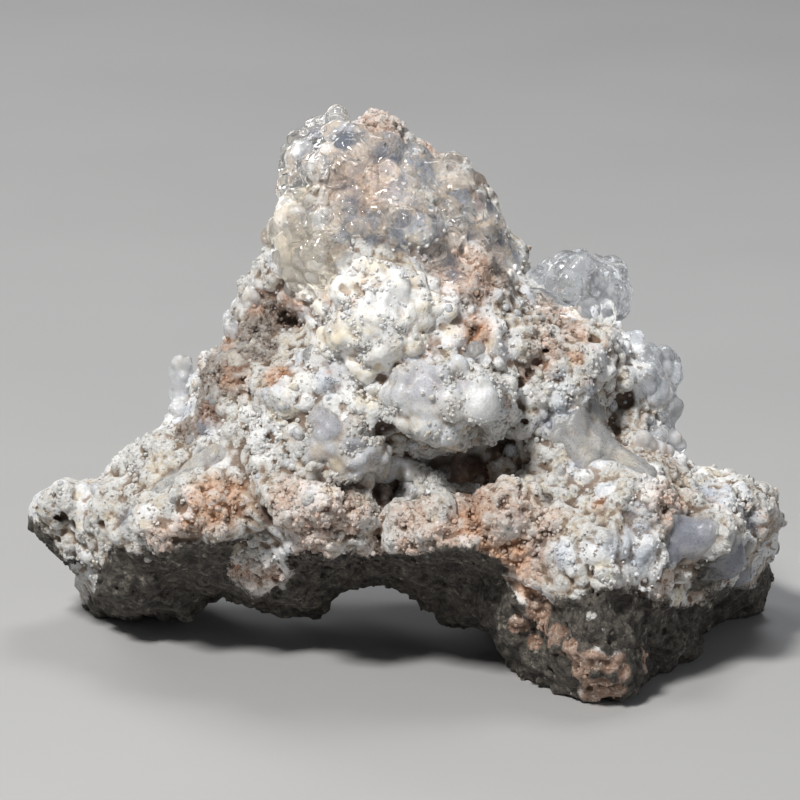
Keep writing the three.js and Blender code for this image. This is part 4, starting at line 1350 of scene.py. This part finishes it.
# Near-black painted shade inside pits and recesses
PIT_SHADE = (0.06, 0.04, 0.03)
CREVICE_DUST_AND_SHADE = (0.50, 0.38, 0.26)
HOLLOW_SHADE_DUST = (0.40, 0.30, 0.21)
AMBER_GLASS = (0.78, 0.72, 0.58)
PINK_GLASS = (0.80, 0.68, 0.60)
PEARL_GREY = (0.62, 0.63, 0.65)
PEARL_BROWN = (0.52, 0.47, 0.43)
OPAL_TINTS = (
    ("greyish", (0.46, 0.46, 0.51)), ("creamy", (0.70, 0.59, 0.46)), ("chalky", (0.82, 0.83, 0.84)),
)
FLOOR_GREY = (0.39, 0.39, 0.39)
FLOOR_LIGHT_GREY = (0.42, 0.42, 0.42)
OPAL_IOR = 1.45


def rock_material():
    """White crumbly crust, waxy patches, tan specks and iron stains, with painted shade in crevices,
    hollows, pits and underside, and painted dark reflections and glints under the glass.
    """
    nodes = Nodes("host_rock_finish")
    fine = nodes.channel("fine_relief")
    broad = nodes.channel("broad_relief")
    pale_zone = nodes.channel("pale")
    mottle = nodes.noise(3.4, 6.0, 0.65, 1.0)
    speckle = nodes.noise(0.7, 4.0, 0.7, 2.0)
    grain = nodes.noise(0.28, 3.0, 0.7, 3.0)
    patches = nodes.noise(13.0, 5.0, 0.65, 4.0)
    breaking = nodes.ramp(nodes.noise(1.6, 5.0, 0.7, 5.0), 0.34, 0.60)
    scattered_marks = nodes.ramp(nodes.noise(7.0, 6.0, 0.7, 6.0), 0.57, 0.66)
    relief = nodes.plus(fine, nodes.times(nodes.less(speckle, 0.5), 0.9))

    colour = nodes.mix(nodes.ramp(mottle, 0.44, 0.60), WHITE, CREAM)
    bare = nodes.less(1.0, nodes.times(pale_zone, 0.85))
    colour = nodes.lay(colour, nodes.ramp(patches, 0.50, 0.60, 0.0, 0.75), bare, TAN)
    colour = nodes.lay(colour, nodes.ramp(relief, 0.52, 0.80), 0.8, CHALK)

    waxy_edge = nodes.times(nodes.less(mottle, 0.5), 1.2)
    waxy = nodes.ramp(nodes.plus(nodes.channel("waxy"), waxy_edge), 0.35, 0.55)
    wax_mottle = nodes.noise(4.2, 5.0, 0.6, 8.0)
    wax = nodes.mix(nodes.ramp(wax_mottle, 0.40, 0.50), WAX_GREY, WAX_WHITE)
    wax = nodes.mix(nodes.ramp(wax_mottle, 0.54, 0.64), wax, WAX_CREAM)
    colour = nodes.lay(colour, waxy, 0.85, wax)

    # Crevices get tan, partly the tan matrix between the lumps and partly painted shade; broad hollows get a
    # darker tan that is painted shade
    crevice_share = nodes.ramp(pale_zone, 0.0, 1.0, 0.9, 0.75)
    crevice_tint_and_shade = nodes.times(nodes.ramp(relief, 0.40, 0.16), crevice_share)
    colour = nodes.mix(crevice_tint_and_shade, colour, TAN)
    low = nodes.times(nodes.ramp(broad, 0.44, 0.14), crevice_share)
    colour = nodes.mix(low, colour, HOLLOW_SHADE_TAN)
    dots = nodes.ramp(nodes.noise(0.75, 2.0, 0.5, 16.0), 0.40, 0.34)
    dot_groups = nodes.ramp(nodes.noise(2.4, 4.0, 0.6, 15.0), 0.40, 0.52)
    dots = nodes.times(dots, dot_groups)
    colour = nodes.lay(colour, dots, 0.8, SPECK)

    white_zone = nodes.times(nodes.channel("white"), nodes.ramp(relief, 0.25, 0.50))
    colour = nodes.lay(colour, white_zone, 0.8, CHALK)
    blue_zone = nodes.times(nodes.channel("blue"), nodes.ramp(breaking, 0.0, 1.0, 0.3, 1.0))
    colour = nodes.lay(colour, blue_zone, 0.7, BLUE)
    stain_edge = nodes.ramp(breaking, 0.0, 1.0, 0.45, 1.15)
    # The rock under the glass: tan, with patches of painted dark reflection and specks of painted glint
    core = nodes.mix(nodes.ramp(nodes.noise(2.4, 6.0, 0.7, 17.0), 0.44, 0.55), CORE_REFLECTION_GREY, CORE_TAN)
    core = nodes.mix(nodes.ramp(nodes.noise(0.8, 3.0, 0.6, 18.0), 0.58, 0.66), core, CORE_GLINT)
    colour = nodes.lay(colour, nodes.channel("peak"), 0.9, core)
    dark_reflection_zone = nodes.times(nodes.channel("dark_reflection"), nodes.ramp(breaking, 0.0, 1.0, 0.5, 1.0))
    amber_zone = nodes.times(nodes.channel("amber"), 0.55)
    colour = nodes.mix(amber_zone, colour, AMBER)
    umber_colour = nodes.mix(nodes.ramp(speckle, 0.40, 0.60), UMBER, UMBER_GREY)
    umber_zone = nodes.times(nodes.ramp(nodes.channel("umber"), 0.1, 0.5), stain_edge, True)
    colour = nodes.lay(colour, umber_zone, 0.9, umber_colour)
    pink_zone = nodes.times(nodes.channel("pink"), stain_edge, True)
    pink_zone = nodes.times(pink_zone, nodes.ramp(nodes.channel("peak"), 0.0, 1.0, 1.0, 0.4))
    pink_colour = nodes.mix(nodes.ramp(speckle, 0.40, 0.58), PINK, PINK_WHITE)
    pink_colour = nodes.mix(nodes.ramp(relief, 0.45, 0.22), pink_colour, DUSTY_BROWN)
    colour = nodes.lay(colour, pink_zone, 0.85, pink_colour)
    brown_colour = nodes.mix(nodes.ramp(speckle, 0.42, 0.62), RED_BROWN, DUSTY_BROWN)
    brown_zone = nodes.times(nodes.channel("brown"), stain_edge, True)
    colour = nodes.lay(colour, brown_zone, 0.9, brown_colour)
    # The orange stain, painted darker in crevices as shade and lighter on the tops as light
    orange_colour = nodes.mix(nodes.ramp(relief, 0.35, 0.70), ORANGE, PEACH)
    orange_zone = nodes.times(nodes.channel("orange"), stain_edge, True)
    colour = nodes.mix(orange_zone, colour, orange_colour)
    colour = nodes.lay(colour, scattered_marks, 0.55, orange_colour)
    # Dark blue-grey patches under the clear glass: painted dark reflections
    colour = nodes.mix(dark_reflection_zone, colour, DARK_REFLECTION)
    # The underside below the crust's edge and the faces turned down: painted shade, near-black with lighter
    # patches and pale flecks
    underside_shade_colour = nodes.mix(nodes.ramp(nodes.noise(1.1, 6.0, 0.75, 10.0), 0.40, 0.66), UNDERSIDE_SHADE, UNDERSIDE_SHADE_LIGHT)
    flecks = nodes.ramp(nodes.noise(1.5, 5.0, 0.7, 19.0), 0.58, 0.66, 0.0, 0.65)
    underside_shade_colour = nodes.mix(flecks, underside_shade_colour, UNDER_FLECK)
    under_noise = nodes.plus(nodes.times(mottle, 0.8), nodes.times(speckle, 0.9))
    underside_shade_zone = nodes.ramp(nodes.plus(nodes.channel("under"), under_noise), 1.22, 1.50)
    colour = nodes.mix(underside_shade_zone, colour, underside_shade_colour)
    tawny_colour = nodes.mix(nodes.ramp(relief, 0.35, 0.65), TAWNY, TAWNY_LIGHT)
    tawny_colour = nodes.mix(nodes.ramp(speckle, 0.52, 0.66), tawny_colour, PINK_WHITE)
    tawny_spread = nodes.times(nodes.channel("tawny"), nodes.ramp(mottle, 0.3, 0.6, 0.5, 1.4))
    tawny_zone = nodes.ramp(tawny_spread, 0.15, 0.5)
    colour = nodes.mix(tawny_zone, colour, tawny_colour)
    film_zone = nodes.ramp(nodes.channel("film"), 0.25, 0.6)
    colour = nodes.lay(colour, film_zone, 0.8, FILM)
    # Pits, holes and recesses painted near-black as shade
    colour = nodes.lay(colour, nodes.channel("dark"), 0.9, PIT_SHADE)
    # Random grain tone, times painted shade that darkens the crevices
    shade = nodes.times(nodes.ramp(grain, 0.3, 0.7, 0.84, 1.08), nodes.ramp(relief, 0.1, 0.45, 0.7, 1.0))
    nodes.set("Base Color", nodes.shaded(colour, shade))

    glitter = nodes.ramp(nodes.cells(0.55), 0.16, 0.08)
    rough = nodes.ramp(speckle, 0.35, 0.65, 0.55, 0.85)
    rough = nodes.less(rough, nodes.times(glitter, 0.35))
    rough = nodes.less(rough, nodes.times(waxy, 0.25))
    rough = nodes.less(rough, nodes.times(umber_zone, 0.3))
    nodes.set("Roughness", rough)
    nodes.set("Specular IOR Level", 0.5)
    calm = nodes.less(1.0, nodes.times(film_zone, 0.8))
    calm = nodes.times(calm, nodes.ramp(waxy, 0.0, 1.0, 1.0, 0.4))
    coarse_height = nodes.times(nodes.noise(0.85, 7.0, 0.8, 7.0), calm)
    grain_height = nodes.times(nodes.cells(0.42, "SMOOTH_F1"), calm)
    normal = nodes.bump(coarse_height, 0.6)
    normal = nodes.bump(grain_height, -0.22, normal)
    normal = nodes.bump(dots, -0.2, normal)
    nodes.set("Normal", normal)
    return nodes.material


def glass_material(name, tint, density, roughness, clarity, veil_size, veil_colour, ripple, facet=0.0,
                   clear_colour=(0.97, 0.97, 0.98)):
    """See-through opal with faint ripples, veils of haze, and crevices painted darker as shade."""
    nodes = Nodes(name)
    veil = nodes.ramp(nodes.noise(veil_size, 5.0, 0.62, 11.0), 0.46, 0.64)
    colour = nodes.mix(veil, clear_colour, veil_colour)
    colour = nodes.lay(colour, nodes.channel("amber"), 0.6, AMBER_GLASS)
    colour = nodes.lay(colour, nodes.channel("pink"), 0.4, PINK_GLASS)
    pearl = nodes.channel("pearl")
    pearl_share = nodes.ramp(nodes.noise(1.2, 4.0, 0.6, 15.0), 0.44, 0.60)
    pearl_colour = nodes.mix(pearl_share, PEARL_GREY, PEARL_BROWN)
    colour = nodes.mix(pearl, colour, pearl_colour)
    # Crevices between the globules painted darker as shade
    depth = nodes.plus(nodes.channel("broad_relief"), nodes.times(nodes.channel("fine_relief"), 0.6))
    nodes.set("Base Color", nodes.shaded(colour, nodes.ramp(depth, 0.35, 0.85, 0.65, 1.0)))
    hazy = nodes.math("MAXIMUM", nodes.times(pearl, 0.75), nodes.times(nodes.channel("amber"), 0.1))
    opened = nodes.less(1.0, hazy)
    nodes.set("Transmission Weight", nodes.times(nodes.ramp(veil, 0.0, 1.0, *clarity), opened))
    nodes.set("IOR", OPAL_IOR)
    nodes.set("Roughness", nodes.ramp(nodes.noise(2.2, 4.0, 0.6, 12.0), 0.35, 0.75, *roughness))
    normal = nodes.bump(nodes.noise(1.4, 3.0, 0.55, 13.0), ripple)
    normal = nodes.bump(nodes.noise(0.45, 3.0, 0.6, 14.0), ripple * 0.25, normal)
    if facet:
        normal = nodes.bump(nodes.cells(1.6), facet, normal)
    nodes.set("Normal", normal)
    absorption = nodes.tree.nodes.new("ShaderNodeVolumeAbsorption")
    absorption.inputs["Color"].default_value = (*tint, 1.0)
    absorption.inputs["Density"].default_value = density
    nodes.tree.links.new(absorption.outputs[0], nodes.output.inputs["Volume"])
    return nodes.material


def cloudy_material(name, pale, warm, dust_and_shade, transmission, rough_low, rough_high, relief=0.14, crumb=0.0,
                    blue=(0.46, 0.50, 0.60), rimmed=0.8):
    """Translucent opal that scatters light, with crevices painted in dust and shade, hollows painted in
    shade, and patches of crust.
    """
    nodes = Nodes(name)
    fine = nodes.channel("fine_relief")
    broad = nodes.channel("broad_relief")
    mottle = nodes.noise(4.5, 5.0, 0.6, 21.0)
    speckle = nodes.noise(0.6, 4.0, 0.7, 22.0)
    colour = nodes.mix(nodes.ramp(mottle, 0.46, 0.62), pale, warm)
    crust = nodes.ramp(nodes.noise(3.0, 6.0, 0.7, 25.0), 0.50, 0.58, 0.0, crumb)
    if crumb:
        crust = nodes.math("MAXIMUM", crust, nodes.times(nodes.channel("rim"), rimmed))
    crust_colour = nodes.mix(nodes.ramp(speckle, 0.42, 0.58), CREAM, CHALK)
    colour = nodes.mix(crust, colour, crust_colour)
    # Crevices get dust and painted shade; broad hollows get a darker painted shade
    crevice_tint_and_shade = nodes.ramp(nodes.plus(fine, nodes.times(speckle, 0.3)), 0.58, 0.33)
    colour = nodes.lay(colour, crevice_tint_and_shade, dust_and_shade, CREVICE_DUST_AND_SHADE)
    colour = nodes.mix(nodes.ramp(broad, 0.40, 0.08, 0.0, dust_and_shade), colour, HOLLOW_SHADE_DUST)
    dots = nodes.times(nodes.ramp(nodes.noise(0.75, 2.0, 0.5, 16.0), 0.38, 0.33), crust)
    colour = nodes.lay(colour, dots, 0.8, SPECK)
    colour = nodes.lay(colour, nodes.channel("blue"), 0.7, blue)
    open_share = nodes.ramp(crust, 0.0, 1.0, 0.75, 0.25)
    for kind, shade in OPAL_TINTS:
        colour = nodes.lay(colour, nodes.channel(kind), open_share, shade)
    nodes.set("Base Color", nodes.shaded(colour, nodes.ramp(speckle, 0.3, 0.7, 0.90, 1.05)))
    nodes.set("Transmission Weight", transmission)
    nodes.set("IOR", OPAL_IOR)
    nodes.set("Subsurface Weight", 0.35)
    nodes.set("Subsurface Radius", (1.0, 0.9, 0.8))
    nodes.set("Subsurface Scale", 1.2 * MILLIMETRE)
    rough = nodes.ramp(speckle, 0.3, 0.7, rough_low, rough_high)
    nodes.set("Roughness", nodes.plus(rough, nodes.times(crust, 0.35), True))
    normal = nodes.bump(nodes.noise(0.9, 5.0, 0.65, 23.0), relief)
    normal = nodes.bump(nodes.noise(0.3, 3.0, 0.6, 24.0), relief * 0.4, normal)
    if crumb:
        grain_height = nodes.times(nodes.cells(0.42, "SMOOTH_F1"), crust)
        normal = nodes.bump(grain_height, -0.22, normal)
        normal = nodes.bump(dots, -0.2, normal)
    nodes.set("Normal", normal)
    return nodes.material


crackled = glass_material(
    "crackled_opal_finish", tint=(0.80, 0.84, 0.87), density=60.0, roughness=(0.02, 0.08),
    clarity=(0.97, 0.70), veil_size=3.4, veil_colour=(0.66, 0.68, 0.71), ripple=0.10, facet=0.12,
)
frosted = glass_material(
    "frosted_opal_finish", tint=(0.78, 0.80, 0.82), density=90.0, roughness=(0.02, 0.12),
    clarity=(0.80, 0.52), veil_size=4.0, veil_colour=(0.47, 0.49, 0.52), ripple=0.06,
    clear_colour=(0.80, 0.82, 0.84),
)
skin_finish = glass_material(
    "glassy_skin_finish", tint=(0.86, 0.85, 0.82), density=80.0, roughness=(0.0, 0.08),
    clarity=(0.98, 0.80), veil_size=3.0, veil_colour=(0.52, 0.51, 0.49), ripple=0.05, facet=0.06,
)
cloudy = cloudy_material(
    "cloudy_opal_finish", (0.70, 0.72, 0.76), (0.76, 0.70, 0.60), 0.45, 0.35, 0.18, 0.42, crumb=0.7,
)
blade_finish = cloudy_material(
    "blade_opal_finish", (0.58, 0.60, 0.63), (0.68, 0.67, 0.65), 0.30, 0.5, 0.06, 0.24, crumb=0.2,
)
film_finish = cloudy_material(
    "grey_film_finish", (0.34, 0.34, 0.34), (0.44, 0.41, 0.36), 0.25, 0.30, 0.20, 0.42, 0.10, 0.35,
    blue=(0.25, 0.27, 0.35), rimmed=0.0,
)
milky = cloudy_material(
    "milky_opal_finish", (0.70, 0.72, 0.74), (0.76, 0.74, 0.69), 0.45, 0.18, 0.14, 0.34, crumb=0.3,
)
porcelain = cloudy_material(
    "white_opal_finish", (0.82, 0.82, 0.80), (0.80, 0.73, 0.59), 0.6, 0.0, 0.24, 0.52, 0.2, 0.6,
)
rock_finish = rock_material()

FINISHES = {
    "peak_glass": (skin_finish, "clear_opal"),
    "shoulder_glass": (crackled, "clear_opal"),
    "grape_glass": (frosted, "clear_opal"),
    "lower_blade_opal": (blade_finish, "cloudy_opal"),
    "upper_blade_opal": (blade_finish, "cloudy_opal"),
    "milky_shelf_opal": (milky, "milky_opal"),
    "white_opal_mass": (porcelain, "white_opal"),
    "fringe_opal": (cloudy, "cloudy_opal"),
    "grey_glassy_films": (film_finish, "cloudy_opal"),
}
SEE_THROUGH = ("peak_glass", "shoulder_glass", "grape_glass", "lower_blade_opal", "upper_blade_opal",
               "grey_glassy_films")
for name, made in growths.items():
    finish, slot = FINISHES[name]
    made.data.materials.append(finish)
    made.visible_shadow = name not in SEE_THROUGH
    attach(made, "root")
    for node in GROWTHS[name].nodes:
        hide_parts(node)
for made in rock_pieces:
    made.data.materials.append(rock_finish)
    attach(made, "root")
    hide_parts("host_rock")
for made, finish, slot in (
    (front_grains, rock_finish, "host_rock"),
    (back_grains, rock_finish, "host_rock"),
    (crumbs, rock_finish, "host_rock"),
    (small_globules, cloudy, "cloudy_opal"),
):
    made.data.materials.append(finish)
    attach(made, "root")


# Floor, light and camera
def floor_material():
    """Pale matt studio floor."""
    nodes = Nodes("floor_finish")
    shade = nodes.noise(60.0, 3.0, 0.5, 31.0)
    nodes.set("Base Color", nodes.mix(shade, FLOOR_GREY, FLOOR_LIGHT_GREY))
    nodes.set("Roughness", nodes.ramp(shade, 0.3, 0.7, 0.7, 0.8))
    nodes.set("Normal", nodes.bump(nodes.noise(1.5, 3.0, 0.5, 32.0), 0.02))
    return nodes.material


FLOOR_HALF = 3.0
floor_mesh = bpy.data.meshes.new("studio_floor")
floor_mesh.from_pydata(
    [(-FLOOR_HALF, -FLOOR_HALF, 0), (FLOOR_HALF, -FLOOR_HALF, 0), (FLOOR_HALF, FLOOR_HALF, 0),
     (-FLOOR_HALF, FLOOR_HALF, 0)],
    [], [(0, 1, 2, 3)],
)
floor = bpy.data.objects.new("studio_floor", floor_mesh)
bpy.context.scene.collection.objects.link(floor)
floor_mesh.materials.append(floor_material())


def softbox(name, place, aim, width, height, power, colour):
    """A rectangular soft light."""
    light = bpy.data.lights.new(name, "AREA")
    light.shape = "RECTANGLE"
    light.size = width
    light.size_y = height
    light.energy = power
    light.color = colour
    made = bpy.data.objects.new(name, light)
    made.location = place
    made.rotation_euler = (Vector(aim) - Vector(place)).to_track_quat("-Z", "Y").to_euler()
    bpy.context.scene.collection.objects.link(made)


AIM = (0, 0, 0.035)
softbox("key_light", (-0.34, -0.60, 0.86), AIM, 0.16, 0.16, 13.2, (1.0, 0.98, 0.95))
softbox("top_light", (0.16, 0.22, 0.9), AIM, 0.3, 0.3, 2.2, (0.97, 0.98, 1.0))
softbox("fill_light", (0.7, -0.6, 0.3), AIM, 0.4, 0.5, 0.9, (0.95, 0.97, 1.0))
softbox("back_light", (-0.5, 0.7, 0.45), AIM, 0.3, 0.4, 2.0, (1.0, 1.0, 1.0))

bpy.context.scene.view_settings.view_transform = "Standard"

world = bpy.data.worlds.new("studio_world")
bpy.context.scene.world = world
world.use_nodes = True
world.node_tree.nodes["Background"].inputs["Color"].default_value = (0.30, 0.31, 0.33, 1.0)
world.node_tree.nodes["Background"].inputs["Strength"].default_value = 0.35

camera_data = bpy.data.cameras.new("photo_camera")
camera_data.type = "PERSP"
camera_data.sensor_width = SENSOR_WIDTH
camera_data.lens = SENSOR_WIDTH * EYE_DISTANCE / (PHOTO_PIXELS * PIXEL_SIZE)
camera_data.clip_start = 0.01
camera_data.clip_end = 20.0
camera = bpy.data.objects.new("photo_camera", camera_data)
camera.location = Vector(EYE) * MILLIMETRE
camera.rotation_euler = Vector(FORWARD).to_track_quat("-Z", "Y").to_euler()
bpy.context.scene.collection.objects.link(camera)
bpy.context.scene.camera = camera
